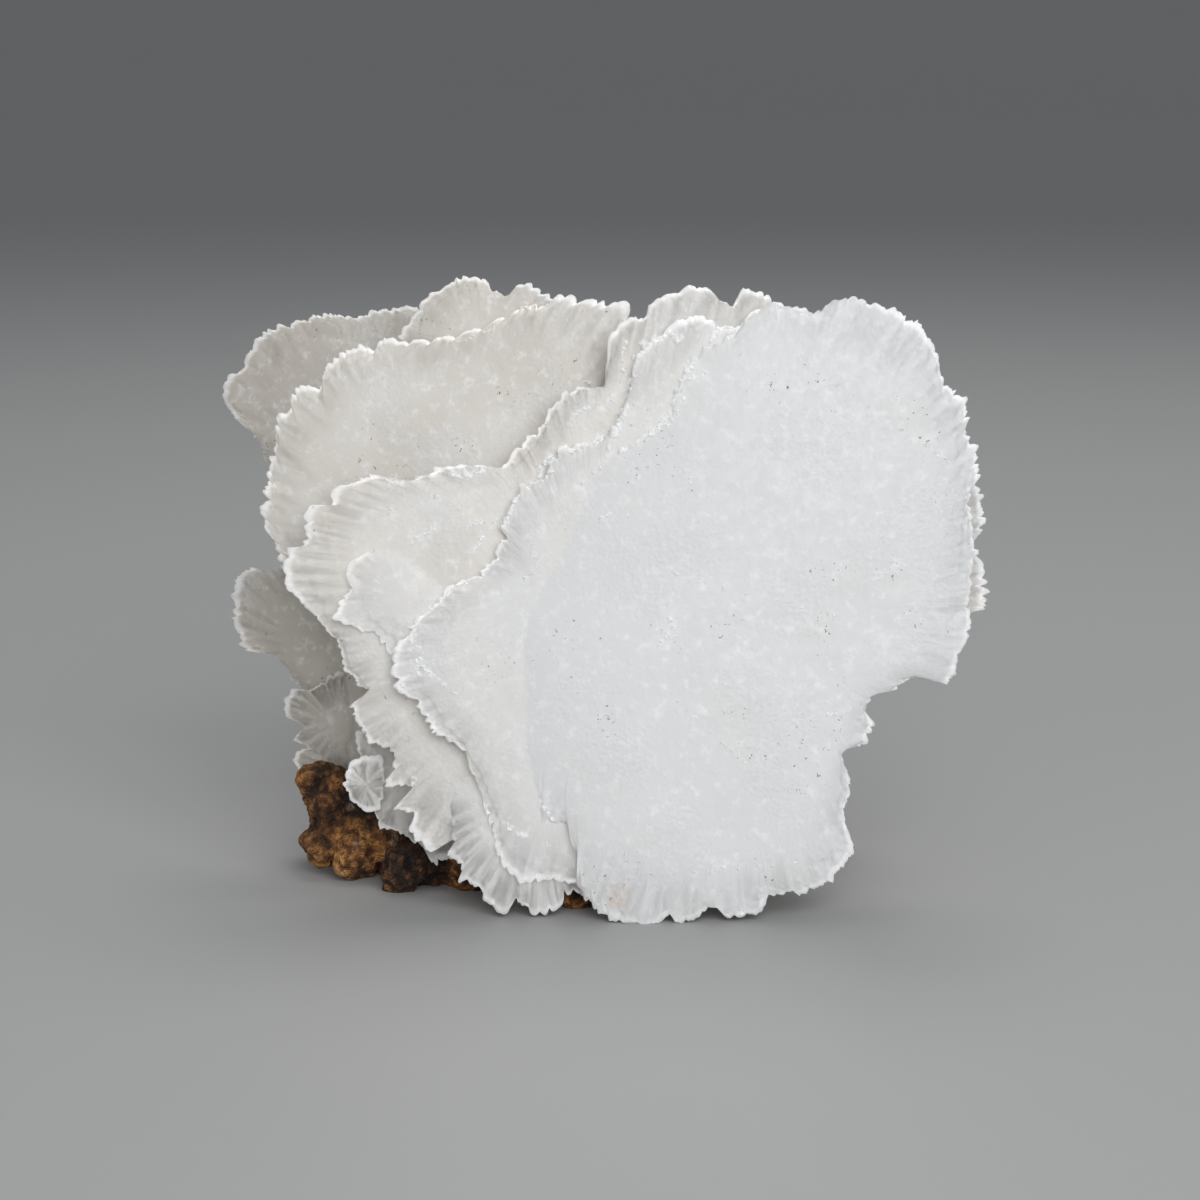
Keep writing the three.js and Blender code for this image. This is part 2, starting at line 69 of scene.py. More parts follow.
# The plates that show from the front. behind is how far one lies behind its family's foremost
# plane, middle is on the photograph's sheet, warm is how far the colour goes from cool
# white to warm grey, which is partly the plates' own tint and partly painted shade darkening the
# back plates, clear is how see-through the rim is, and rim is half its thickness.
SEEN_COLUMNS = "name node family behind thickness middle seed warm clear rim".split()
SEEN_PLATES = [
    ("front sheet", "front_sheets", "front", 0, 3.2, (19.2, -1.6), 11, 0.0, 0.35, 0.6),
    ("second sheet", "front_sheets", "front", 2.1, 3.0, (0, -3.2), 23, 0.25, 0.35, 0.5),
    ("ear sheet", "front_sheets", "front", 3.2, 2.2, (-31.0, 0), 31, 0.35, 0.2, 0.5),
    ("low sheet", "front_sheets", "front", 3.6, 2.8, (-10.4, -30.4), 41, 0.3, 0.8, 0.45),
    ("third sheet", "front_sheets", "front", 5.4, 4.0, (0, 1.6), 53, 0.6, 0.55, 0.5),
    ("middle plate", "middle_plates", "middle", 0, 4.6, (-22.0, 10.0), 61, 0.75, 0.35, 0.6),
    ("crown plate", "middle_plates", "middle", 3.0, 3.6, (-18.6, 39.6), 71, 0.8, 0.35, 0.6),
    ("upper rear plate", "upper_rear_plate", "upper rear", 0, 4.4, (-28.0, 12.0), 83, 1.0, 0.3, 0.65),
    ("lower left plate", "lower_left_plate", "lower left", 0, 3.8, (-40.0, -10.0), 97, 1.0, 0.4, 0.6),
    ("left spur plate", "left_foot_plates", "left foot", 2.5, 3.0, (-41.6, -19.6), 101, 1.0, 0.9, 0.4),
    ("left foot plate", "left_foot_plates", "left foot", 4.6, 3.0, (-41.6, -26.6), 107, 1.0, 0.9, 0.4),
    ("foot plate", "front_foot_plates", "foot", 0, 2.4, (-31.0, -28.6), 113, 0.5, 1.0, 0.45),
    ("foot splinter", "front_foot_plates", "foot", -2.0, 2.2, (-37.4, -29.6), 127, 0.4, 1.0, 0.45),
]

# Their outlines on the sheet: across, up and, where it isn't 0, how far the rim bends back.
OUTLINES = {
    "front sheet": [
        (-15.2, -14.4, 2.6), (-14.4, -3.2, 2.6), (-9.6, 8.0, 2.6), (-3.2, 17.6, 2.2),
        (2.0, 23.2, 1.7), (7.6, 26.0, 1.0), (11.2, 29.0, 1.6), (12.6, 34.8, 1.0), (15.4, 38.6, 1.6),
        (21.6, 42.6, 1.3), (24.6, 45.8, 0.6), (29.8, 47.0), (34.8, 46.0), (36.8, 47.6),
        (42.4, 47.6), (48.2, 45.4), (53.6, 40.6), (55.2, 34.0), (58.2, 32.0), (58.6, 27.0),
        (60.0, 22.4), (59.2, 15.4), (59.8, 8.8), (59.0, 0), (58.8, -5.6), (56.6, -9.8),
        (55.6, -13.4), (50.6, -11.6), (46.8, -14.2), (44.2, -14.4), (42.4, -17.2), (43.4, -19.6),
        (41.2, -22.6), (38.6, -24.0), (39.8, -29.6), (38.8, -34.0), (40.4, -40.2), (37.6, -43.8),
        (33.8, -46.2), (27.4, -46.8), (25.4, -49.4), (21.8, -50.4), (17.8, -49.2), (13.4, -51.6),
        (11.2, -50.2), (8.8, -52.2), (2.6, -50.8), (-1.0, -48.4), (-3.4, -44.6), (-2.2, -41.4),
        (-4.4, -40.0), (-3.6, -36.2), (-7.0, -35.4), (-9.8, -31.2), (-12.8, -24.0, 1.6),
    ],
    "second sheet": [
        (-32.8, -9.2), (-31.2, -6.0), (-26.8, -1.0), (-22.8, 2.4), (-18.2, 4.2), (-15.4, 9.0, 0.8),
        (-14.8, 14.2, 0.5), (-13.0, 17.2, 0.4), (-8.6, 19.6, 0.6), (-7.8, 22.6, 0.4),
        (-3.8, 24.8, 0.6), (1.0, 26.0, 0.8), (4.4, 30.4, 0.4), (5.0, 34.6, 0.7), (6.2, 38.8, 0.3),
        (9.8, 42.6, 0.2), (16.4, 45.0), (18.8, 43.2), (21.8, 43.4), (24.4, 46.0), (33.4, 44.8),
        (43.0, 43.6), (51.6, 38.4), (55.8, 30.0), (57.8, 19.2), (57.4, 6.4), (55.6, -6.0),
        (46.0, -10.6), (36.4, -22.0), (35.6, -36.2), (22.4, -44.0), (8.0, -45.4), (-2.8, -44.6),
        (-6.2, -45.2), (-8.6, -44.0), (-11.4, -44.8), (-14.0, -43.6), (-16.2, -40.6),
        (-17.2, -36.4), (-18.4, -32.4), (-20.6, -27.4), (-22.2, -23.6), (-24.8, -21.8),
        (-29.4, -16.4), (-32.8, -12.4),
    ],
    "ear sheet": [
        (-41.8, -2.8), (-41.6, -0.8), (-40.0, 1.6), (-40.6, 4.8), (-38.4, 7.0), (-35.2, 7.8),
        (-30.4, 8.2, 1.8), (-24.0, 4.8, 1.8), (-20.8, -3.2), (-27.2, -9.6), (-33.4, -8.2),
        (-35.8, -5.2), (-38.6, -4.6),
    ],
    "low sheet": [
        (-23.6, -36.0), (-23.6, -27.4, 1.6), (-21.6, -19.2, 2.2), (-16.0, -14.4, 2.2),
        (-3.2, -16.0), (6.4, -25.6), (6.4, -38.4), (0, -44.6), (-2.6, -46.8), (-4.6, -46.2),
        (-6.6, -48.4), (-8.6, -49.8), (-11.0, -49.6), (-13.4, -48.4), (-15.0, -50.0),
        (-18.2, -47.8), (-19.6, -46.0), (-21.6, -45.2), (-22.4, -42.2), (-24.2, -40.8),
        (-23.0, -38.8),
    ],
    "third sheet": [
        (-50.4, 5.8), (-49.4, 8.0), (-47.2, 8.6), (-46.8, 12.8), (-45.2, 15.2), (-43.0, 14.8),
        (-42.4, 17.2), (-38.6, 19.2), (-35.4, 19.6), (-32.6, 18.0), (-30.0, 19.2), (-24.2, 21.0),
        (-19.0, 21.2), (-16.4, 20.4), (-13.6, 23.8, -0.6), (-11.0, 25.2, -1), (-8.4, 29.6, -1.2),
        (-5.4, 32.6, -1.4), (1.6, 34.4, -1.4), (0.8, 36.8, -1.4), (1.8, 38.4, -1.4),
        (1.2, 40.8, -1.4), (4.2, 44.6, -1), (7.4, 45.2, -0.8), (7.8, 47.2, -0.5),
        (11.4, 48.8, -0.3), (16.6, 49.8), (18.8, 48.2), (21.0, 46.8), (22.2, 48.8), (24.4, 49.2),
        (28.2, 47.0), (40.0, 44.4), (50.4, 39.4), (56.8, 30.4), (59.2, 20.0), (61.0, 16.2),
        (61.0, 12.0), (59.6, 9.4), (60.8, 5.0), (61.2, -0.8), (59.4, -2.0), (55.6, -6.0),
        (44.8, -11.2), (35.2, -22.4), (32.0, -35.2), (19.2, -41.6), (3.2, -42.4), (-12.8, -41.8),
        (-21.0, -38.0), (-25.2, -38.8), (-27.4, -40.4), (-28.6, -38.2), (-30.4, -36.6),
        (-29.6, -34.4), (-32.8, -33.2), (-29.4, -30.6), (-33.8, -28.6), (-32.2, -26.4),
        (-34.4, -23.2), (-36.6, -22.6), (-39.6, -18.0), (-39.0, -16.2), (-37.0, -14.8),
        (-38.4, -13.0), (-41.4, -10.8), (-41.2, -8.0), (-45.2, -3.2), (-49.6, 2.0),
    ],
    "middle plate": [
        (-48.0, 2.4), (-51.6, 8.8), (-53.6, 12.4), (-53.0, 16.0), (-52.8, 21.0), (-51.8, 25.6),
        (-51.6, 29.0), (-49.2, 30.4), (-49.4, 32.4), (-47.4, 33.6), (-44.0, 33.8), (-43.8, 36.4),
        (-39.2, 40.4), (-36.4, 39.8), (-33.8, 41.2), (-27.4, 41.2), (-20.2, 42.6), (-13.2, 46.2),
        (-8.0, 47.2), (-6.8, 48.8), (-4.4, 48.2), (-3.6, 47.4), (2.2, 47.8), (4.4, 46.6),
        (4.6, 44.4), (2.8, 40.2), (0.6, 35.8), (2.0, 31.0), (6.4, 20.0), (9.6, 0), (8.0, -24.0),
        (-2.0, -38.0), (-16.0, -40.0), (-26.0, -33.0), (-31.0, -22.0), (-37.0, -11.0),
        (-44.0, -1.0),
    ],
    "crown plate": [
        (-31.6, 42.8), (-30.2, 45.0), (-27.6, 48.2), (-25.4, 49.6), (-22.4, 51.2), (-19.2, 51.2),
        (-17.2, 49.8), (-14.6, 48.6), (-13.2, 50.2), (-11.4, 50.2), (-8.0, 48.2), (-4.0, 44.8),
        (-4.8, 33.2), (-16.0, 27.0), (-26.6, 30.0), (-30.4, 38.0),
    ],
    "upper rear plate": [
        (-60.2, 33.4), (-59.4, 35.8), (-57.8, 36.4), (-55.8, 40.0), (-54.4, 41.8), (-48.0, 44.2),
        (-43.6, 45.4), (-40.0, 45.0), (-32.8, 46.8), (-24.0, 44.8), (-12.0, 38.0), (-2.0, 22.0),
        (0, -6.0), (-8.0, -30.0), (-22.0, -36.0), (-32.0, -20.0), (-40.0, -4.0), (-47.0, 12.0),
        (-52.8, 22.0), (-55.4, 26.6), (-57.6, 28.4), (-59.8, 31.4),
    ],
    "lower left plate": [
        (-58.4, -1.8), (-58.6, 1.8), (-57.4, 4.4), (-53.4, 4.6), (-50.6, 5.2), (-44.8, 6.6),
        (-32.0, 4.0), (-22.0, -12.0), (-20.0, -34.0), (-33.0, -36.0), (-40.2, -24.4),
        (-41.2, -20.2), (-43.4, -18.4), (-46.4, -15.2), (-51.0, -9.6), (-52.6, -8.2), (-55.4, -8.4),
        (-57.2, -6.6),
    ],
    "left spur plate": [
        (-50.4, -16.6), (-49.2, -14.4), (-46.0, -14.6), (-41.6, -11.8), (-34.0, -14.0),
        (-31.6, -27.0), (-40.0, -30.0), (-43.6, -25.8), (-45.6, -23.8), (-48.8, -22.4),
        (-47.4, -20.0), (-49.8, -18.8),
    ],
    "left foot plate": [
        (-48.8, -26.0), (-48.2, -24.2), (-45.6, -23.6), (-41.6, -20.4), (-32.0, -22.0),
        (-31.8, -34.0), (-41.0, -35.0), (-46.8, -29.2), (-47.6, -27.4),
    ],
    "foot plate": [
        (-38.6, -29.2), (-38.0, -26.4), (-38.8, -22.4), (-32.0, -16.0), (-21.0, -22.0),
        (-19.8, -38.0), (-23.8, -41.2), (-27.0, -41.6), (-28.2, -39.2), (-32.6, -36.8),
        (-35.2, -35.8), (-36.0, -33.2),
    ],
    "foot splinter": [
        (-40.8, -28.0), (-38.8, -25.6), (-35.4, -25.0), (-34.6, -29.6), (-35.4, -33.4),
        (-38.0, -33.4), (-40.2, -30.6),
    ],
}

# Plates that the front ones hide: (middle, half size, lean, turn, thickness, seed).
HIDDEN_PLATES = [
    ((22, 8, 52), (25, 30), 12, -2, 4.2, 131),
    ((8, 17, 45), (27, 32), 8, 5, 4.4, 139),
    ((26, 25, 38), (21, 27), 3, 10, 4.0, 149),
    ((-8, 28, 41), (25, 29), 1, -6, 4.2, 157),
    ((14, 35, 32), (22, 25), -5, 7, 3.8, 163),
    ((-12, 41, 26), (19, 21), -10, -4, 3.4, 167),
    ((4, 24, 36), (20, 26), 3, 68, 4.4, 173),
    ((-17, 27, 31), (16, 22), 6, -58, 4.0, 181),
]
HIDDEN_CORNERS = 13
# The hidden plates' tint share also darkens them towards the warm grey, as painted shade.
HIDDEN_LOOK = {"warm": 0.7, "clear": 0.4, "rim": 0.6, "fine": 1.7}

# Lumps of the matrix: x, y, z and radius.
MATRIX_LUMPS = [
    (-45.9, 12, 14.1, 3.9), (-44.3, 10, 10.4, 4.2), (-46, 8, 5.6, 3.6), (-40.7, 12, 7.3, 6.2),
    (-40.3, 6, 3.4, 3.8), (-36.7, 8, 6.4, 4.6), (-32.3, -0.8, 3.2, 4.1), (-28, 3, 2.6, 3.6),
    (-3.8, -7.6, 1.1, 3.4), (-36, 17, 4, 8), (-28, 12, 3, 10), (-18, 8, 4, 11), (-7, 3, 3, 10),
    (-14, 22, 5, 15), (-28, 31, 4, 12), (6, 10, 4, 13), (10, 27, 4, 15), (-8, 38, 3, 11),
    (24, 18, 2, 10), (22, 32, 2, 9),
]

# The matrix's grains, large and small.
GRAIN_SIZE = 1.25
SMALL_GRAIN = 0.8

# The floor, in metres: its flat part's radius, the radius of its turned-up edge, and its sides.
FLOOR_FLAT = 1.6
FLOOR_CURVE = 1.8
FLOOR_SIDES = 96

# Trails of white crumbs on the front of the cluster: the line that they follow, in millimetres
# across and up the photograph's sheet, the gap between them and their size.
FRONT_TRAILS = [
    ([(-33.1, 14.9), (-33.4, 13.6)], 0.5, 0.55),
    ([(-26.5, 12.5), (-27.0, 10.9), (-29.8, 10.0), (-30.6, 8.0)], 0.4, 0.45),
    ([(-30.9, 18.4), (-26.4, 20.6), (-24.5, 20.3), (-22.1, 19.8), (-18.7, 20.9)], 0.8, 0.75),
    ([(-26.3, 16.6), (-25.1, 15.4)], 0.5, 0.5),
    ([(-22.6, 14.9), (-22.3, 14.6)], 0.5, 0.45),
    ([(-21.8, 11.7), (-19.3, 12.3), (-18.1, 12.9)], 0.45, 0.35),
    ([(-19.0, 11.0), (-19.2, 9.3), (-19.9, 7.7)], 0.45, 0.45),
    ([(-17.4, 12.2), (-15.4, 13.2)], 0.5, 0.35),
    ([(-13.2, 16.9), (-14.1, 15.0), (-14.9, 13.2), (-14.1, 11.5)], 0.5, 0.5),
    ([(-9.8, 17.5), (-9.2, 19.4), (-9.5, 21.4), (-7.7, 23.6)], 0.45, 0.55),
    ([(-11.0, 9.0), (-10.7, 7.4), (-10.1, 5.6), (-12.2, 3.1)], 0.6, 0.45),
    ([(-18.4, 4.0), (-23.0, 2.2), (-26.6, -0.9), (-30.6, -4.3)], 0.5, 0.4),
    ([(-30.6, -5.8), (-28.2, -8.5), (-29.5, -10.7), (-28.8, -12.2)], 0.4, 0.45),
    ([(-2.1, 19.9), (0.6, 21.4)], 0.4, 0.4),
    ([(-3.5, 18.4), (-3.3, 18.3)], 0.5, 0.6),
    ([(0.6, 23.6), (3.4, 28.8)], 0.5, 0.9),
    ([(0, 12.9), (2.1, 13.8)], 0.4, 0.5), ([(4.4, 13.5), (4.9, 13.4)], 0.5, 0.55),
    ([(18.9, 44.2), (18.2, 42.0), (17.2, 41.3)], 0.4, 0.65),
    ([(18.7, 43.4), (22.3, 42.9)], 0.4, 0.75), ([(15.8, 44.6), (16.4, 44.2)], 0.5, 0.6),
    ([(6.2, 39.8), (9.4, 41.8), (15.7, 42.2)], 0.7, 0.8),
    ([(15.5, 38.3), (13.5, 35.8), (13.0, 34.9), (13.3, 31.4)], 0.4, 0.45),
    ([(13.3, 34.9), (17.2, 36.3)], 0.4, 0.6),
    ([(12.3, 30.4), (11.0, 28.0), (8.1, 27.8), (8.4, 26.3)], 0.4, 0.5),
    ([(14.2, 19.7), (14.5, 18.2)], 0.4, 0.4), ([(7.6, 30.4), (7.8, 30.3)], 0.4, 0.6),
    ([(-9.6, -31.9), (-7.8, -35.0), (-6.5, -35.4)], 0.4, 0.5),
    ([(-9.0, -38.9), (-7.5, -39.5)], 0.5, 0.4), ([(3.9, -40.6), (4.1, -40.7)], 0.4, 0.5),
    ([(18.9, -45.8), (19.0, -46.4)], 0.4, 0.6), ([(35.8, -18.4), (40.3, -17.7)], 0.4, 0.4),
    ([(-33.3, -12.8), (-30.1, -14.7)], 0.5, 0.4),
    ([(-29.6, -9.7), (-22.4, -15.7), (-21.8, -18.0)], 0.5, 0.45),
    ([(-16.2, -34.6), (-13.6, -37.4), (-11.3, -38.0)], 0.5, 0.5),
    ([(-29.8, -28.0), (-30.1, -30.9)], 0.5, 0.5),
    ([(11.2, -3.0), (12.6, -7.0)], 0.7, 0.4), ([(9.0, -8.0), (12.0, -3.6)], 0.7, 0.4),
    ([(12.0, 4.0), (40.0, -3.0)], 2.0, 0.35), ([(10.0, -14.0), (36.0, -38.0)], 2.4, 0.35),
    ([(30.0, 40.0), (56.0, 22.0)], 2.6, 0.35), ([(8.0, -44.0), (34.0, -42.0)], 2.2, 0.4),
    ([(-8.4, 19.8), (-7.6, 22.4), (-3.6, 24.6), (1.0, 26.2)], 0.5, 0.6),
    ([(1.2, 26.4), (4.2, 30.6), (4.8, 34.8), (6.0, 38.6), (9.4, 42.4)], 0.5, 0.62),
    ([(-4.6, 29.6), (1.8, 32.2), (3.4, 36.0), (4.0, 41.6)], 0.9, 0.55),
    ([(3.0, 23.4), (7.8, 26.4), (11.0, 29.6), (12.4, 34.6), (15.2, 38.8), (21.0, 42.4)], 0.6, 0.55),
]
MIDDLE_TRAILS = [
    ([(-13.4, 46.0), (-10.6, 47.2), (-8.6, 47.0)], 0.7, 0.7),
    ([(-22.0, 41.4), (-16.0, 44.0)], 1.2, 0.5), ([(-2.6, 35.0), (-0.4, 34.6)], 0.6, 0.5),
]
TRAILS = {"front_sheets": FRONT_TRAILS, "middle_plates": MIDDLE_TRAILS}

# Crumbs. The first three are what their material is told. Their sizes, strays from the line, sinking
# and room are shares of the trail's size or of their own radius.
# The crumbs' depth puts them partly in the white rim line, which is partly their own white and partly a
# painted highlight.
CRUMB_DEPTH = 0.55
CRUMB_CLEAR = 0.3
CRUMB_STREAK = 5
CRUMB_SEED = 17
CRUMB_SIZES = (0.5, 1.15)
CRUMB_STRETCH = np.array([1.25, 0.9, 0.7])
CRUMB_SINK = 0.25
CRUMB_STRAY = 0.3
CRUMB_ROOM = 1.5

# Tan iron stains: family, place across and up the photograph's sheet, and radius.
STAINS = [("front", (2.9, -47.4), 2.6), ("foot", (-28.2, -28.2), 1.6)]

# The meshes' detail: the spacing of points at the rim and far inside, the matrix's voxels, how much
# coarser the back faces are, the depths between which the spacing grows, the depths of the first
# rings, and the steps of a whole turn and of an outline between two corners.
RIM_SPACING = 0.32
INNER_SPACING = 0.9
MATRIX_VOXEL = 0.41
BACK_COARSER = 1.6
FINE_DEPTHS = (1, 10)
FIRST_DEPTHS = [0.16, 0.45]
TURN_STEPS = 2880
CURVE_STEPS = 24

# The rim's detail: rounded lobes, small teeth, chips at about this spacing, and the narrow part of
# the outline's own shape. The inner rings follow the outline with this much smoothing.
LOBE_WIDTH = 2.9
LOBE_DEPTH = 0.8
LOBE_ROUNDNESS = 0.45
LOBE_LIMIT = 0.85
TOOTH_WIDTH = 1.1
TOOTH_DEPTH = 0.72
TOOTH_ROUNDNESS = 0.6
CHIP_SPACING = 12
NARROW_WIDTH = 3.0
NARROW_LIMIT = 1.2
RIM_SMOOTHING = 11.0

# How far in from the rim each part of its shape dies away.
ANGLE_FADE = 5
OUTLINE_FADE = 6.5
NARROW_FADE = 1.9
LOBE_FADE = 1.2
TOOTH_FADE = 0.75
THICKENING = 8.0

# A bent rim: how far it goes back for a bend of 1, the width that the bend is smoothed over, the
# bends between which it sinks into the sheet behind, and the depth that its material is then given.
BEND_REACH = 1.25
BEND_SMOOTHING = 6.0
BEND_LIFT = 10
SUNK_BENDS = (0.3, 1.0)
SUNK_DEPTH = 5

# The faces' relief, the least half thickness, and the angle from which an edge looks sharp.
RIB_HEIGHT = 0.022
NOTCH_DEPTH = 0.14
LUMP_HEIGHT = 0.08
MORE_LUMPS = 0.17
GRAIN_HEIGHT = 0.012
MORE_GRAIN = 0.06
WAVE_HEIGHT = 0.035
LEDGE_DROP = 0.3
INNER_LEDGE_DROP = 0.24
LEAST_HALF = 0.12
SHARP_ANGLE = math.radians(48)

# Colours of the calcite and of the limonite.
COOL_WHITE = (0.745, 0.75, 0.754)
WARM_WHITE = (0.755, 0.728, 0.683)
# The warm grey's warmth is the calcite's own tint; its darkness is painted shade on the back plates.
SHADED_WARM_GREY = (0.58, 0.545, 0.49)
FROST = (0.93, 0.935, 0.94)
COOL_GREY = (0.70, 0.715, 0.73)
TAN = (0.62, 0.42, 0.26)
SPECK_BROWN = (0.26, 0.15, 0.08)
# The rim's white is partly the crumbly edge's own white and partly a painted highlight.
RIM_WHITE_AND_HIGHLIGHT = (0.97, 0.97, 0.97)
CLEAR_LIMIT = 0.7
SCATTER_COLOURS = (1.0, 0.96, 0.92)
SCATTER_DEPTH = 3 * MM
LIMONITE_TONES = [
    (0.42, (0.014, 0.007, 0.005)), (0.55, (0.07, 0.028, 0.010)), (0.68, (0.22, 0.09, 0.026)),
    (0.8, (0.52, 0.24, 0.065)), (0.95, (0.66, 0.42, 0.19)),
]
CRUST = (0.5, 0.42, 0.30)
# Near black painted shade in the matrix's hollows.
HOLLOW_SHADE = (0.018, 0.009, 0.008)
# Painted shade in the gaps between the matrix's grains.
CRACK_SHADE = (0.04, 0.015, 0.008)

# Lights: name, place, size, power and colour. All face one point above the floor.
LIT_POINT = (0, 0, 0.05)
LIGHTS = [
    ("key", (0.35, -1.0, 0.7), 1.2, 11.0, (0.98, 0.99, 1.0)),
    ("fill", (-0.6, -0.9, 0.35), 0.9, 1.6, (1.0, 0.96, 0.9)),
    ("top", (0.1, 0.4, 0.9), 0.6, 3.0, (1.0, 0.99, 0.97)),
]
SKY = (0.9, 0.94, 1.0, 1)
SKY_STRENGTH = 0.3
FLOOR_COLOUR = (0.40, 0.40, 0.395, 1)
FLOOR_ROUGHNESS = 0.55

# Large primes that mix a lattice corner's numbers, one each for x, y, z and the seed.
PRIMES = (374761393, 668265263, 2147483647, 1274126177)

aim = np.array([0.0, 0.0, AIM_HEIGHT])
sight_forward = np.array([0.0, math.cos(EYE_LOOKS_DOWN), -math.sin(EYE_LOOKS_DOWN)])
sight_up = np.array([0.0, math.sin(EYE_LOOKS_DOWN), math.cos(EYE_LOOKS_DOWN)])
sight_across = np.array([1.0, 0.0, 0.0])
eye = aim - sight_forward * EYE_DISTANCE


def lattice(ix, iy, iz, seed):
    """A repeatable number from -1 to 1 for each corner of a cubic lattice."""
    h = ix * PRIMES[0] + iy * PRIMES[1] + iz * PRIMES[2] + seed * PRIMES[3]
    h = (h ^ (h >> 13)) * PRIMES[3]
    h = h & 0xFFFFFFFF
    h = (h ^ (h >> 16)) & 0xFFFF
    return h / 32767.5 - 1.0


def noise(x, y, z, seed):
    """Smooth noise from -1 to 1, one value for each place."""
    x, y, z = np.broadcast_arrays(x, y, z)
    fx, fy, fz = np.floor(x), np.floor(y), np.floor(z)
    ix, iy, iz = fx.astype(np.int64), fy.astype(np.int64), fz.astype(np.int64)
    tx, ty, tz = x - fx, y - fy, z - fz
    tx, ty, tz = (t * t * (3 - 2 * t) for t in (tx, ty, tz))
    value = 0.0
    for dx in (0, 1):
        for dy in (0, 1):
            for dz in (0, 1):
                share = (tx if dx else 1 - tx) * (ty if dy else 1 - ty) * (tz if dz else 1 - tz)
                value = value + share * lattice(ix + dx, iy + dy, iz + dz, seed)
    return value


def cells(x, y, z, seed):
    """How near the nearest of a scatter of points is, and that point's own number."""
    ix, iy, iz = (np.floor(v).astype(np.int64) for v in (x, y, z))
    best, own = np.full(x.shape, 9.0), np.zeros(x.shape)
    for dx in (-1, 0, 1):
        for dy in (-1, 0, 1):
            for dz in (-1, 0, 1):
                jx, jy, jz = ix + dx, iy + dy, iz + dz
                px = jx + 0.5 + 0.45 * lattice(jx, jy, jz, seed)
                py = jy + 0.5 + 0.45 * lattice(jx, jy, jz, seed + 1)
                pz = jz + 0.5 + 0.45 * lattice(jx, jy, jz, seed + 2)
                away = np.sqrt((px - x) ** 2 + (py - y) ** 2 + (pz - z) ** 2)
                nearer = away < best
                best = np.where(nearer, away, best)
                own = np.where(nearer, lattice(jx, jy, jz, seed + 3), own)
    return best, own


def smooth_step(low, high, x):
    """0 below `low`, 1 above `high`, and a smooth rise between them."""
    t = np.clip((x - low) / (high - low), 0, 1)
    return t * t * (3 - 2 * t)


def axes_of(lean, turn):
    """A plate's axes: across it, up it, and out of its front face."""
    l, t = math.radians(lean), math.radians(turn)
    across = np.array([math.cos(t), math.sin(t), 0.0])
    up = np.array([-math.sin(t) * math.sin(l), math.cos(t) * math.sin(l), math.cos(l)])
    return across, up, np.cross(across, up)


def sight_line(point):
    """From the eye to a point of the photograph's sheet."""
    return sight_forward * EYE_DISTANCE + sight_across * point[0] + sight_up * point[1]


def meets(point, on, out):
    """Where the sight line through a sheet point meets the plane through `on` facing `out`."""
    line = sight_line(point)
    return eye + line * (np.dot(on - eye, out) / np.dot(line, out))


def plane_of(name):
    """A family's axes and a point of its foremost plane, on the line of sight."""
    family = FAMILIES[name]
    depth = family["depth"]
    on = np.array([0.0, depth, AIM_HEIGHT - depth * math.tan(EYE_LOOKS_DOWN)])
    return axes_of(family["lean"], family["turn"]), on


def place_seen(row):
    """The plate with its place, axes and outline in its own plane, as (across, up, bend)."""
    plate = dict(zip(SEEN_COLUMNS, row))
    (across, up, out), on = plane_of(plate["family"])
    on = on - out * plate["behind"]
    place = meets(plate["middle"], on, out)
    outline = []
    for corner in OUTLINES[plate["name"]]:
        offset = meets(corner[:2], on, out) - place
        bend = corner[2] if len(corner) > 2 else 0.0
        outline.append((np.dot(offset, across), np.dot(offset, up), bend))
    placed = {"place": place, "axes": (across, up, out), "outline": np.array(outline)}
    return {**plate, **placed, "fine": 1.0}


def scatter(n):
    """A repeatable number from 0 to 1 for any number, the same as the solids use."""
    wave = math.sin(n * 12.9898) * 43758.5453
    return wave - math.floor(wave)


def place_hidden(row):
    """A hidden plate, whose outline is an oval with uneven bulges."""
    middle, half, lean, turn, thickness, seed = row
    outline = []
    for i in range(HIDDEN_CORNERS):
        angle = math.pi - i / HIDDEN_CORNERS * 2 * math.pi
        swell = 0.82 + 0.3 * scatter(seed + i * 3.7)
        outline.append((half[0] * swell * math.cos(angle), half[1] * swell * math.sin(angle), 0))
    return {
        "name": f"back plate {seed}", "node": "back_plates", "place": np.array(middle, float),
        "axes": axes_of(lean, turn), "outline": np.array(outline), "thickness": thickness,
        "seed": seed, **HIDDEN_LOOK,
    }


def smooth_outline(corners):
    """A centripetal Catmull-Rom curve through the corners, closed."""
    before, start, end, after = (np.roll(corners, shift, axis=0) for shift in (1, 0, -1, -2))
    span = lambda a, b: np.maximum(np.linalg.norm(b - a, axis=1) ** 0.5, 1e-4)[:, None]
    t0, t1, t2 = span(before, start), span(start, end), span(end, after)
    leave = ((start - before) / t0 - (end - before) / (t0 + t1) + (end - start) / t1) * t1
    arrive = ((end - start) / t1 - (after - start) / (t1 + t2) + (after - end) / t2) * t1
    t = (np.arange(CURVE_STEPS) / CURVE_STEPS)[None, :, None]
    start, end, leave, arrive = (v[:, None, :] for v in (start, end, leave, arrive))
    curve = (
        (2 * t**3 - 3 * t**2 + 1) * start
        + (t**3 - 2 * t**2 + t) * leave
        + (-2 * t**3 + 3 * t**2) * end
        + (t**3 - t**2) * arrive
    )
    return curve.reshape(-1, 3)


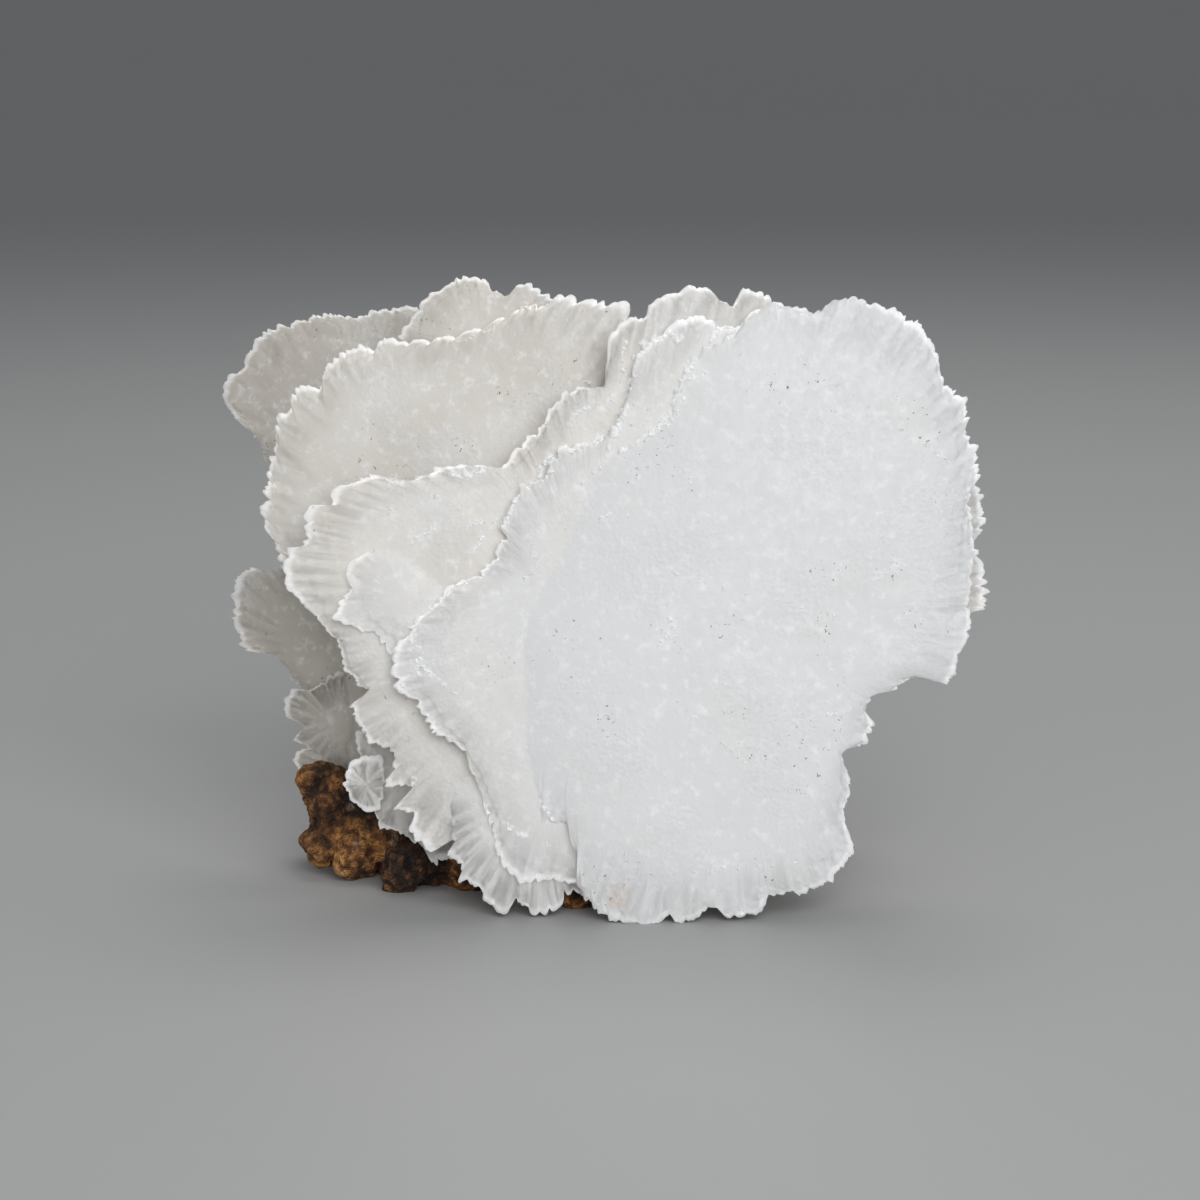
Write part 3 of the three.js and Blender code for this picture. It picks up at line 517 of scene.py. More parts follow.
def reach_by_angle(points):
    """The outermost reach of a closed run of points, and the bend there, for even angles."""
    reach, bend = np.zeros(TURN_STEPS), np.zeros(TURN_STEPS)
    step = 2 * math.pi / TURN_STEPS
    for a, b in zip(points, np.roll(points, -1, axis=0)):
        start = math.atan2(a[1], a[0])
        turn = math.atan2(a[0] * b[1] - a[1] * b[0], a[0] * b[0] + a[1] * b[1])
        low, high = (start, start + turn) if turn > 0 else (start + turn, start)
        k = np.arange(math.ceil(low / step), math.floor(high / step) + 1)
        if not len(k):
            continue
        c, s = np.cos(k * step), np.sin(k * step)
        cross = (b[0] - a[0]) * s - (b[1] - a[1]) * c
        cross = np.where(np.abs(cross) < 1e-9, 1e-9, cross)
        share = np.clip((a[1] * c - a[0] * s) / cross, 0, 1)
        length = (a[0] + (b[0] - a[0]) * share) * c + (a[1] + (b[1] - a[1]) * share) * s
        slot = k % TURN_STEPS
        wins = length > reach[slot]
        reach[slot[wins]] = length[wins]
        bend[slot[wins]] = (a[2] + (b[2] - a[2]) * share)[wins]
    return reach, bend


def lobes(around, width, depth, roundness, random):
    """Rounded lobes along a closed rim: how far each point stands out, and how near a notch is."""
    borders = [0.0]
    while borders[-1] < around:
        borders.append(borders[-1] + width * random.uniform(0.45, 1.6))
    borders = np.array(borders) * around / borders[-1]
    place = np.arange(TURN_STEPS * 2) / (TURN_STEPS * 2) * around
    lobe = np.searchsorted(borders, place, side="right") - 1
    share = (place - borders[lobe]) / (borders[lobe + 1] - borders[lobe])
    height = depth * random.uniform(0.35, 1.65, len(borders))
    profile = np.clip(4 * share * (1 - share), 0, 1) ** roundness
    edge = np.minimum(place - borders[lobe], borders[lobe + 1] - place)
    notch = np.exp(-edge / (0.12 * width)) * np.clip(height[lobe] / depth, 0.3, 1.6)
    return height[lobe] * profile - depth / 2, notch


def smooth_reach(reach, width):
    """The reach with all that is narrower than `width` millimetres smoothed away."""
    spread = width / reach.mean()
    waves = np.fft.rfft(reach)
    return np.fft.irfft(waves * np.exp(-0.5 * (np.arange(len(waves)) * spread) ** 2), len(reach))


def shares_along(reach):
    """How far round the rim each angle lies, from 0 to 1, and the whole length."""
    ahead = np.roll(reach, -1)
    step = 2 * math.pi / TURN_STEPS
    along = np.concatenate([[0], np.cumsum(np.hypot((reach + ahead) / 2 * step, ahead - reach))])
    return along / along[-1], along[-1]


def rim_detail(around, seed):
    """Lobes, teeth and how near a notch is, in even steps along a rim of this length."""
    random = np.random.default_rng(seed)
    size = min(1.0, 0.45 + around / 260)
    large, notch = lobes(around, LOBE_WIDTH * size, LOBE_DEPTH * size, LOBE_ROUNDNESS, random)
    teeth, small_notch = lobes(around, TOOTH_WIDTH, TOOTH_DEPTH, TOOTH_ROUNDNESS, random)
    place = np.arange(TURN_STEPS * 2) / (TURN_STEPS * 2)
    patchy = np.clip(0.55 + 0.75 * noise(place * around / 6, 0, 0, seed), 0.1, 1.0)
    grit = 0.16 * noise(place * around / 0.6, 0, 0, seed + 5)
    for _ in range(int(around / CHIP_SPACING)):
        away = (place - random.uniform() + 0.5) % 1.0 - 0.5
        chip = np.clip(1 - np.abs(away * around) / random.uniform(0.35, 0.8), 0, 1)
        large = large - size * random.uniform(0.4, 1.2) * chip
    return {
        "lobe": np.clip(large, -LOBE_LIMIT, LOBE_LIMIT),
        "teeth": size * (teeth * patchy + grit),
        "notch": np.clip(notch + 0.5 * small_notch * patchy, 0, 1.5),
    }


def along_rim(values, shares=None):
    """Reads a closed run of values at any share of the way round."""
    closed = np.append(values, values[0])
    if shares is None:
        shares = np.linspace(0, 1, len(closed))
    return lambda u: np.interp(u % 1.0, shares, closed)


def rim_of(plate):
    """The rim as functions of the share of the way round, which runs from 0 to 1."""
    reach, bend = reach_by_angle(smooth_outline(plate["outline"]))
    plain = smooth_reach(reach, RIM_SMOOTHING)
    closed_plain = np.append(plain, plain[0])
    narrow = np.clip(reach - smooth_reach(reach, NARROW_WIDTH), -NARROW_LIMIT, NARROW_LIMIT)
    shares, around = shares_along(reach)
    plain_shares, _ = shares_along(plain)
    turn = np.arange(TURN_STEPS + 1) * 2 * math.pi / TURN_STEPS
    # The smoothing's width is a share of the mean, so the bends, which are near 0, are lifted for it.
    bend = smooth_reach(bend + BEND_LIFT, BEND_SMOOTHING) - BEND_LIFT
    rim = {
        "around": around,
        "radius": plain.mean(),
        "angle": lambda u: np.interp(u % 1.0, shares, turn),
        "plain angle": lambda u: np.interp(u % 1.0, plain_shares, turn),
        "plain reach": lambda angle: np.interp(angle, turn, closed_plain),
        "reach": along_rim(reach, shares),
        "bend": along_rim(bend, shares),
        "narrow": along_rim(narrow, shares),
    }
    detail = rim_detail(around, plate["seed"])
    return {**rim, **{name: along_rim(values) for name, values in detail.items()}}


def ring_depths(radius, spacing, inner_spacing):
    """How far in from the rim each ring of a face lies, denser near the rim."""
    depths = list(FIRST_DEPTHS)
    while depths[-1] < radius * 0.97:
        grown = smooth_step(*FINE_DEPTHS, depths[-1])
        depths.append(depths[-1] + spacing + (inner_spacing - spacing) * grown)
    return np.array(depths[:-1])


def rim_relief(rim, place, a, b, u, depth, seed):
    """Ribs, notches and crumbly lumps, all near the rim."""
    ribs = noise(place / 1.5, depth / 14, 0, seed) + 0.5 * noise(place / 0.8, depth / 8, 3, seed)
    rise = RIB_HEIGHT * ribs * (1 - np.exp(-depth / 0.9)) * np.exp(-depth / 12)
    rise = rise - NOTCH_DEPTH * rim["notch"](u) * np.exp(-depth / 0.6)
    crumbly = smooth_step(-0.35, 0.3, noise(place / 8, 0, 0, seed + 1))
    lumps = 1 - 2 * np.abs(noise(a / 0.85, b / 0.85, 0, seed + 2))
    return rise + (LUMP_HEIGHT + MORE_LUMPS * crumbly) * lumps * np.exp(-((depth / 1.7) ** 2))


def ledges(place, depth, seed):
    """Two steps down towards the rim, each on a wandering line that is there only in places."""
    line = 1.7 + 1.2 * noise(place / 9, 0, 0, seed + 6) + 0.4 * noise(place / 1.2, 0, 0, seed + 7)
    shown = smooth_step(-0.15, 0.1, noise(place / 19, 5, 0, seed + 8))
    yield LEDGE_DROP * shown * smooth_step(0.1, -0.1, depth - line)
    line = 6 + 4.0 * noise(place / 14, 0, 0, seed + 9) + 0.6 * noise(place / 2.6, 0, 0, seed + 10)
    shown = smooth_step(0.1, 0.35, noise(place / 24, 9, 0, seed + 11))
    yield INNER_LEDGE_DROP * shown * smooth_step(0.25, -0.25, depth - line)


def relief(plate, rim, a, b, u, depth, side):
    """How far a face rises above its plain lens."""
    seed = plate["seed"] + (0 if side > 0 else 400)
    place = u * rim["around"]
    rise = rim_relief(rim, place, a, b, u, depth, seed)
    grainy = smooth_step(0.0, 0.45, noise(a / 13, b / 13, 0, seed + 3))
    rise = rise + (GRAIN_HEIGHT + MORE_GRAIN * grainy) * noise(a / 1.7, b / 1.7, 0, seed + 4)
    rise = rise + WAVE_HEIGHT * noise(a / 4.5, b / 4.5, 0, seed + 5)
    for drop in ledges(place, depth, seed):
        rise = rise - drop
    return rise


def warp(plate, a, b):
    """A plate isn't quite flat: how far its middle sheet stands out at a place."""
    seed = plate["seed"] + 50
    return 0.26 * noise(a / 16, b / 16, 0, seed) + 0.07 * noise(a / 7, b / 7, 0, seed + 1)


def half_thickness(plate, depth):
    """Half the plain thickness at a depth in from the rim."""
    body = plate["thickness"] / 2
    return plate["rim"] + (body - plate["rim"]) * (1 - np.exp(-depth / THICKENING))


def bridge(outer, inner, side):
    """Triangles between two rings, each a first number and a count."""
    (a0, n), (b0, m) = outer, inner
    when = np.concatenate([(np.arange(n) + 0.5) / n, (np.arange(m) + 0.5) / m])
    order = np.argsort(when, kind="stable")
    is_outer = order < n
    i = np.cumsum(is_outer) - is_outer
    j = np.cumsum(~is_outer) - (~is_outer)
    a, b = a0 + i % n, b0 + j % m
    c = np.where(is_outer, a0 + (i + 1) % n, b0 + (j + 1) % m)
    return np.stack([a, c, b] if side > 0 else [a, b, c], axis=1)


def ring_points(plate, rim, share, number, side):
    """A ring's points, and for each one what the material needs."""
    across, up, out = plate["axes"]
    u = np.arange(number) / number
    # The rim's own shape dies away inwards, so the inner rings are smooth ovals.
    rim_angle, plain_angle = rim["angle"](u), rim["plain angle"](u)
    typical = rim["radius"] * (1 - share)
    angle = plain_angle + (rim_angle - plain_angle) * np.exp(-typical / ANGLE_FADE)
    plain = rim["plain reach"](angle)
    depth = plain * (1 - share)
    detail = rim["reach"](u) - rim["plain reach"](rim_angle)
    narrow = rim["narrow"](u)
    length = plain + (detail - narrow) * np.exp(-depth / OUTLINE_FADE)
    length = length + narrow * np.exp(-depth / NARROW_FADE)
    length = length + rim["lobe"](u) * np.exp(-depth / LOBE_FADE)
    length = length + rim["teeth"](u) * np.exp(-depth / TOOTH_FADE)
    length = length * share
    a, b = length * np.cos(angle), length * np.sin(angle)
    bend = rim["bend"](u)
    sunk = smooth_step(*SUNK_BENDS, bend)
    height = warp(plate, a, b) - BEND_REACH * bend * share**1.5
    if side:
        half = half_thickness(plate, depth)
        half = half + relief(plate, rim, a, b, u, depth, side) * (1 - 0.85 * sunk)
        height = height + side * np.maximum(half, LEAST_HALF) * (0.78 if typical < 0.3 else 1.0)
    places = plate["place"] + np.outer(a, across) + np.outer(b, up) + np.outer(height, out)
    spoke = rim["radius"] * angle
    return places, np.stack([depth + SUNK_DEPTH * sunk, spoke], axis=1)


def plate_mesh(plate):
    """A plate's points and triangles, and what its material needs at each point."""
    rim = rim_of(plate)
    radius = rim["radius"]
    points, triangles, notes = [], [], []
    count = 0

    def add_ring(share, number, side):
        nonlocal count
        places, about = ring_points(plate, rim, share, number, side)
        points.append(places)
        notes.append(about)
        count += number
        return count - number, number

    fine = RIM_SPACING * plate["fine"]
    equator = add_ring(1.0, int(rim["around"] / fine), 0)
    for side in (1, -1):
        coarser = 1.0 if side > 0 else BACK_COARSER
        narrow = fine * coarser
        wide = INNER_SPACING * plate["fine"] * coarser
        before = equator
        for depth in ring_depths(radius, narrow, wide):
            spacing = narrow + (wide - narrow) * smooth_step(*FINE_DEPTHS, depth)
            share = 1 - depth / radius
            number = max(8, int(rim["around"] * share / spacing))
            # The first rings have a point for each one of the rim's.
            ring = add_ring(share, equator[1] if depth <= FIRST_DEPTHS[-1] else number, side)
            triangles.append(bridge(before, ring, side))
            before = ring
        hub, _ = add_ring(0.0, 1, side)
        first, number = before
        ring = first + np.arange(number)
        fan = np.stack([ring, np.roll(ring, -1), np.full(number, hub)], axis=1)
        triangles.append(fan if side > 0 else fan[:, ::-1])
    points = np.concatenate(points) - FOOTPRINT_MIDDLE
    return points, np.concatenate(triangles), np.concatenate(notes)


def add_object(name, data):
    """A new object in the scene."""
    made = bpy.data.objects.new(name, data)
    bpy.context.scene.collection.objects.link(made)
    return made


def mesh_object(name, points, triangles):
    """A closed mesh from points in millimetres."""
    mesh = bpy.data.meshes.new(name)
    mesh.vertices.add(len(points))
    mesh.vertices.foreach_set("co", (points * MM).astype(np.float32).ravel())
    mesh.loops.add(len(triangles) * 3)
    mesh.loops.foreach_set("vertex_index", triangles.astype(np.int32).ravel())
    mesh.polygons.add(len(triangles))
    mesh.polygons.foreach_set("loop_start", np.arange(0, len(triangles) * 3, 3, dtype=np.int32))
    mesh.update(calc_edges=True)
    mesh.validate()
    return add_object(name, mesh)


def united(name, parts):
    """One closed piece from overlapping closed parts, which are used up."""
    base = parts[0]
    for part in parts[1:]:
        join = base.modifiers.new("join", "BOOLEAN")
        join.operation = "UNION"
        join.solver = "MANIFOLD"
        join.object = part
    bpy.context.view_layer.update()
    graph = bpy.context.evaluated_depsgraph_get()
    mesh = bpy.data.meshes.new_from_object(base.evaluated_get(graph))
    mesh.name = name
    piece = add_object(name, mesh)
    for part in parts:
        bpy.data.objects.remove(part)
    return piece


def join_into(piece, parts):
    """Makes the parts one object, which is `piece`, without cutting their faces."""
    with bpy.context.temp_override(active_object=piece, selected_editable_objects=parts):
        bpy.ops.object.join()


def places_of(mesh):
    """A mesh's points, in metres."""
    places = np.empty(len(mesh.vertices) * 3, dtype=np.float32)
    mesh.vertices.foreach_get("co", places)
    return places.reshape(-1, 3).astype(np.float64)


def write_attribute(mesh, name, kind, values):
    """Gives each point of a mesh a value that its material can read."""
    attribute = mesh.attributes.new(name, kind, "POINT")
    key = "vector" if kind == "FLOAT_VECTOR" else "value"
    attribute.data.foreach_set(key, np.ascontiguousarray(values, dtype=np.float32).ravel())


def note_surface(piece, sources):
    """Writes what the calcite's material needs, taken from the nearest point of the plates."""
    places = np.concatenate([source["points"] for source in sources]) * MM
    notes = np.concatenate([source["notes"] for source in sources])
    tree = KDTree(len(places))
    for i, place in enumerate(places):
        tree.insert(place, i)
    tree.balance()
    mesh = piece.data
    nearest = np.array([tree.find(vertex.co)[1] for vertex in mesh.vertices])
    depth, spoke, warm, clear, seed = notes[nearest].T
    write_attribute(mesh, "depth", "FLOAT", depth)
    write_attribute(mesh, "warm", "FLOAT", warm)
    write_attribute(mesh, "clear", "FLOAT", clear)
    # Streaks run out from each plate's middle: quick to change along the rim, slow inwards.
    write_attribute(mesh, "streak", "FLOAT_VECTOR", np.stack([spoke, depth * 0.12, seed], axis=1))


def crumb_shape():
    """The corners and faces of a rough ball with a radius of one."""
    golden = (1 + 5**0.5) / 2
    corners = [(0, a, b * golden) for a in (-1, 1) for b in (-1, 1)]
    corners = [tuple(np.roll(c, turn)) for turn in range(3) for c in corners]
    corners = np.array(corners, float) / math.hypot(1, golden)
    near = 1.06
    faces = []
    for i in range(12):
        for j in range(i + 1, 12):
            for k in range(j + 1, 12):
                a, b, c = corners[[i, j, k]]
                sides = (np.linalg.norm(a - b), np.linalg.norm(b - c), np.linalg.norm(c - a))
                if max(sides) < near:
                    outward = np.dot(np.cross(b - a, c - a), a) > 0
                    faces.append((i, j, k) if outward else (i, k, j))
    return corners, np.array(faces)


def spots_along(line, gap, size, random):
    """Random spots near a line of the photograph's sheet."""
    line = np.array(line, float)
    lengths = np.concatenate([[0], np.cumsum(np.linalg.norm(np.diff(line, axis=0), axis=1))])
    for place in random.uniform(0, lengths[-1], max(1, int(lengths[-1] / gap))):
        spot = np.array([np.interp(place, lengths, line[:, axis]) for axis in (0, 1)])
        yield spot + random.normal(0, CRUMB_STRAY * size, 2)


def crumb(ball, size, random):
    """A crumb's radius, and its corners about its own middle."""
    radius = size * random.uniform(*CRUMB_SIZES)
    turned = np.linalg.qr(random.normal(size=(3, 3)))[0]
    turned = turned * np.sign(np.linalg.det(turned))
    stretch = radius * CRUMB_STRETCH * random.uniform(0.8, 1.2, 3)
    dents = random.uniform(0.82, 1.12, (len(ball), 1))
    return radius, (ball * dents * stretch) @ turned.T


def add_to_groups(groups, middle, radius, corners):
    """Puts a crumb in the first group whose crumbs it stays clear of."""
    room = CRUMB_ROOM * radius
    for group in groups:
        if all(math.dist(middle, other) > room + reach for other, reach, _ in group):
            break
    else:
        group = []
        groups.append(group)
    group.append((middle, room, corners + middle))


def crumbs_on(piece, trails, random):
    """Crystal crumbs along the trails, each sunk a little into what it hits, a group at a time.

    The crumbs of a group don't touch, because a union of crossing faces within one part fails.
    """
    ball, ball_faces = crumb_shape()
    surface = BVHTree.FromObject(piece, bpy.context.evaluated_depsgraph_get())
    start = Vector((eye - FOOTPRINT_MIDDLE) * MM)
    groups = []
    for line, gap, size in trails:
        for spot in spots_along(line, gap, size, random):
            hit, normal, _, _ = surface.ray_cast(start, Vector(sight_line(spot)).normalized())
            if hit is None:
                continue
            radius, corners = crumb(ball, size, random)
            middle = np.array(hit) / MM - np.array(normal) * radius * CRUMB_SINK
            add_to_groups(groups, middle, radius, corners)
    for group in groups:
        faces = [ball_faces + len(ball) * i for i in range(len(group))]
        yield np.concatenate([corners for _, _, corners in group]), np.concatenate(faces)


def rest_on_floor(piece):
    """Flattens what would reach below the floor."""
    places = places_of(piece.data)
    places[:, 2] = np.maximum(places[:, 2], 0)
    piece.data.vertices.foreach_set("co", places.astype(np.float32).ravel())
    piece.data.update()


def shade_smooth(mesh, material):
    """Smooth shading and one material."""
    mesh.polygons.foreach_set("use_smooth", np.ones(len(mesh.polygons), dtype=bool))
    mesh.materials.clear()
    mesh.materials.append(material)


def calcite_piece(node, plates, material):
    """A node's plates and crumbs, as one closed piece."""
    sources, parts = [], []

    def add(name, points, triangles, notes, about):
        notes = np.hstack([notes, np.tile(about, (len(points), 1))])
        sources.append({"points": points, "notes": notes})
        parts.append(mesh_object(name, points, triangles))

    for plate in plates:
        add(plate["name"], *plate_mesh(plate), [plate["warm"], plate["clear"], plate["seed"]])
    piece = united(node, parts)
    if node in TRAILS:
        parts = [piece]
        about = [plates[0]["warm"], CRUMB_CLEAR, CRUMB_STREAK]
        for points, triangles in crumbs_on(piece, TRAILS[node], np.random.default_rng(CRUMB_SEED)):
            add("crumbs", points, triangles, np.tile([CRUMB_DEPTH, 0.0], (len(points), 1)), about)
        piece = united(node, parts)
    piece.name = node + "_surface"
    rest_on_floor(piece)
    note_surface(piece, sources)
    shade_smooth(piece.data, material)
    piece.data.set_sharp_from_angle(angle=SHARP_ANGLE)
    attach(piece, "root")
    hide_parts(node)


def heap_of_lumps():
    """The matrix's lumps, joined into one closed skin by a voxel remesh."""
    parts = []
    for x, y, z, radius in MATRIX_LUMPS:
        bpy.ops.mesh.primitive_ico_sphere_add(
            subdivisions=4,
            radius=radius * MM,
            location=((np.array([x, y, z]) - FOOTPRINT_MIDDLE) * MM).tolist(),
        )
        parts.append(bpy.context.object)
    heap = parts[0]
    join_into(heap, parts)
    heap.name = "limonite_matrix_surface"
    heap.data.transform(heap.matrix_world)
    heap.matrix_world.identity()
    remesh = heap.modifiers.new("remesh", "REMESH")
    remesh.mode = "VOXEL"
    remesh.voxel_size = MATRIX_VOXEL * MM
    graph = bpy.context.evaluated_depsgraph_get()
    mesh = bpy.data.meshes.new_from_object(heap.evaluated_get(graph))
    heap.modifiers.clear()
    heap.data = mesh
    return heap


def roughen(mesh):
    """Pushes the matrix in and out by noise and by grains of two sizes, and notes them."""
    places = places_of(mesh) / MM
    normals = np.empty(len(mesh.vertices) * 3, dtype=np.float32)
    mesh.vertices.foreach_get("normal", normals)
    normals = normals.reshape(-1, 3)
    x, y, z = places.T
    broad = 1.1 * noise(x / 4.0, y / 4.0, z / 4.0, 301)
    broad = broad + 0.7 * noise(x / 1.9, y / 1.9, z / 1.9, 302)
    broad = broad - 0.9 * smooth_step(0.4, 0.8, noise(x / 2.4, y / 2.4, z / 2.4, 305))
    away, own = cells(x / GRAIN_SIZE, y / GRAIN_SIZE, z / GRAIN_SIZE, 311)
    small_away, small_own = cells(x / SMALL_GRAIN, y / SMALL_GRAIN, z / SMALL_GRAIN, 331)
    push = broad + 0.6 * (0.55 - away) + 0.42 * (0.55 - small_away) * (1 + 0.5 * own)
    places = places + normals * push[:, None]
    places[:, 2] = np.maximum(places[:, 2], 0)
    mesh.vertices.foreach_set("co", (places * MM).astype(np.float32).ravel())
    mesh.update()
    # hollow and crack mark the pits and the gaps between grains, which the limonite's material darkens as
    # painted shade.
    write_attribute(mesh, "hollow", "FLOAT", np.clip(-broad / 1.6, -1, 1))
    write_attribute(mesh, "crack", "FLOAT", np.maximum(away * 0.8, small_away))
    write_attribute(mesh, "grain", "FLOAT", 0.5 + 0.25 * (own + small_own))


def matrix_piece(material):
    """The limonite lump, as one closed piece."""
    heap = heap_of_lumps()
    roughen(heap.data)
    shade_smooth(heap.data, material)
    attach(heap, "root")
    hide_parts("limonite_matrix")


class Nodes:
    """A short way to write a material's nodes."""

    def __init__(self, name):
        self.material = bpy.data.materials.new(name)
        self.material.use_nodes = True
        self.tree = self.material.node_tree
        self.shader = self.tree.nodes["Principled BSDF"]

    def put(self, kind, inputs=None, **settings):
        node = self.tree.nodes.new(kind)
        for key, value in settings.items():
            setattr(node, key, value)
        for key, value in (inputs or {}).items():
            self.feed(node.inputs[key], value)
        return node

    def feed(self, socket, value):
        if isinstance(value, bpy.types.NodeSocket):
            self.tree.links.new(value, socket)
        else:
            socket.default_value = value

    def maths(self, operation, a, b, clamp=False):
        node = self.put("ShaderNodeMath", {0: a, 1: b}, operation=operation, use_clamp=clamp)
        return node.outputs[0]

    def times(self, a, b):
        return self.maths("MULTIPLY", a, b)

    def shade(self, name, value):
        """Feeds one of the shader's own sockets."""
        self.feed(self.shader.inputs[name], value)

    def attribute(self, name, output="Fac"):
        return self.put("ShaderNodeAttribute", attribute_name=name).outputs[output]

    def noise(self, vector, scale, detail, roughness=0.5):
        inputs = {"Vector": vector, "Scale": scale, "Detail": detail, "Roughness": roughness}
        return self.put("ShaderNodeTexNoise", inputs).outputs["Fac"]

    def cell_depth(self, vector, scale):
        inputs = {"Vector": vector, "Scale": scale}
        return self.put("ShaderNodeTexVoronoi", inputs).outputs["Distance"]

    def ramp(self, value, stops):
        node = self.put("ShaderNodeValToRGB", {"Fac": value})
        elements = node.color_ramp.elements
        while len(elements) < len(stops):
            elements.new(0.5)
        for element, (position, colour) in zip(elements, stops):
            element.position = position
            element.color = (*colour, 1)
        return node.outputs["Color"]

    def tint(self, under, share, colour):
        """The colour `under` with a share of another one mixed in."""
        node = self.put("ShaderNodeMix", data_type="RGBA")
        self.feed(node.inputs["Factor"], share)
        self.feed(node.inputs["A"], under)
        self.feed(node.inputs["B"], (*colour, 1))
        return node.outputs["Result"]

    def between(self, value, low, high, to_low=0.0, to_high=1.0):
        inputs = {"Value": value, "From Min": low, "From Max": high, "To Min": to_low, "To Max": to_high}
        return self.put("ShaderNodeMapRange", inputs, interpolation_type="SMOOTHSTEP").outputs[0]

    def bumps(self, *layers):
        """Feeds the shader a chain of bumps, each a strength, a depth in metres and a height."""
        below = None
        for strength, distance, height in layers:
            inputs = {"Strength": strength, "Distance": distance, "Height": height}
            if below:
                inputs["Normal"] = below
            below = self.put("ShaderNodeBump", inputs).outputs[0]
        self.shade("Normal", below)


def stain_on(n, colour, place, patch):
    """Tan iron stains, each round one place."""
    for family, spot, radius in STAINS:
        axes, on = plane_of(family)
        middle = (meets(spot, on, axes[2]) - FOOTPRINT_MIDDLE) * MM
        away = n.put("ShaderNodeVectorMath", {0: place, 1: middle}, operation="DISTANCE").outputs["Value"]
        near = n.between(away, 0.2 * radius * MM, radius * MM, 1.0, 0.0)
        stain = n.times(near, n.between(patch, 0.4, 0.6, 0.1, 0.75))
        colour = n.tint(colour, stain, TAN)
    return colour


def calcite_colour(n, place, depth, warm):
    """Milky white to warm grey, with frosty and grey patches, stains, specks and a white rim. The warm
    grey's darkness is partly painted shade, and the rim's white is partly a painted highlight.
    """
    cloud = n.noise(place, 70, 2.0, 0.55)
    # Towards the warm end the colour darkens: partly the plates' own warm tint, partly painted shade on
    # the back plates.
    tone = n.maths("ADD", warm, n.between(cloud, 0.3, 0.7, -0.1, 0.1), clamp=True)
    colour = n.ramp(tone, [(0.0, COOL_WHITE), (0.6, WARM_WHITE), (1.0, SHADED_WARM_GREY)])
    patch = n.noise(place, 520, 3.0, 0.7)
    colour = n.tint(colour, n.between(patch, 0.5, 0.75, 0.0, 0.5), FROST)
    grey_patch = n.between(n.noise(place, 60, 1.0), 0.5, 0.75, 0.0, 0.3)
    colour = n.tint(colour, grey_patch, COOL_GREY)
    colour = stain_on(n, colour, place, patch)
    # Brown specks sit in loose clusters.
    grains = n.noise(place, 1500, 2.0, 0.6)
    cluster = n.between(n.noise(place, 95, 2.0), 0.58, 0.64)
    speck = n.times(n.between(grains, 0.655, 0.7), cluster)
    colour = n.tint(colour, n.times(speck, 0.9), SPECK_BROWN)
    # The thin rim and the crumbs turn white: partly the crumbly edge's own white, partly a painted
    # highlight.
    rim_white_and_highlight = n.between(depth, 0.25, 0.75, 1.0, 0.0)
    return n.tint(colour, n.times(rim_white_and_highlight, 0.65), RIM_WHITE_AND_HIGHLIGHT)


def calcite_clearness(n, streak, depth, clear):
    """How much light goes straight through: most of it just inside the white rim, in wisps."""
    strip = n.between(depth, 0.3, 0.9)
    fade = n.between(depth, 1.0, 8.0, 1.0, 0.0)
    wisps = n.between(n.noise(streak, 0.9, 2.0, 0.6), 0.35, 0.65, 0.25, 1.0)
    see = n.times(n.times(strip, fade), n.times(clear, wisps))
    return n.maths("MULTIPLY", see, CLEAR_LIMIT, clamp=True)


def calcite_material():
    """Milky calcite: light scatters inside it, and its thin rims let some straight through."""
    n = Nodes("calcite")
    place = n.put("ShaderNodeTexCoord").outputs["Object"]
    depth, warm, clear = n.attribute("depth"), n.attribute("warm"), n.attribute("clear")
    streak = n.attribute("streak", "Vector")
    n.shade("Base Color", calcite_colour(n, place, depth, warm))
    n.shade("Transmission Weight", calcite_clearness(n, streak, depth, clear))
    gloss = n.noise(place, 900, 2.0)
    n.shade("Roughness", n.between(gloss, 0.35, 0.65, 0.34, 0.6))
    n.shader.subsurface_method = "BURLEY"
    n.shade("IOR", 1.5)
    n.shade("Subsurface Weight", 0.55)
    n.shade("Subsurface Radius", SCATTER_COLOURS)
    n.shade("Subsurface Scale", SCATTER_DEPTH)

    # Ribs near the rim, crystal faces in patches, and shallow dimples all over.
    ribs = n.noise(streak, 1.6, 2.0, 0.6)
    ribs = n.times(ribs, n.between(depth, 0.5, 18.0, 1.0, 0.0))
    patches = n.between(n.noise(place, 60, 1.0), 0.45, 0.62, 0.1, 1.0)
    crystals = n.times(n.cell_depth(place, 1400.0), patches)
    dimples = n.noise(place, 420, 2.0, 0.6)
    n.bumps((0.26, 0.0003, ribs), (0.35, 0.0002, crystals), (0.3, 0.0004, dimples))
    return n.material


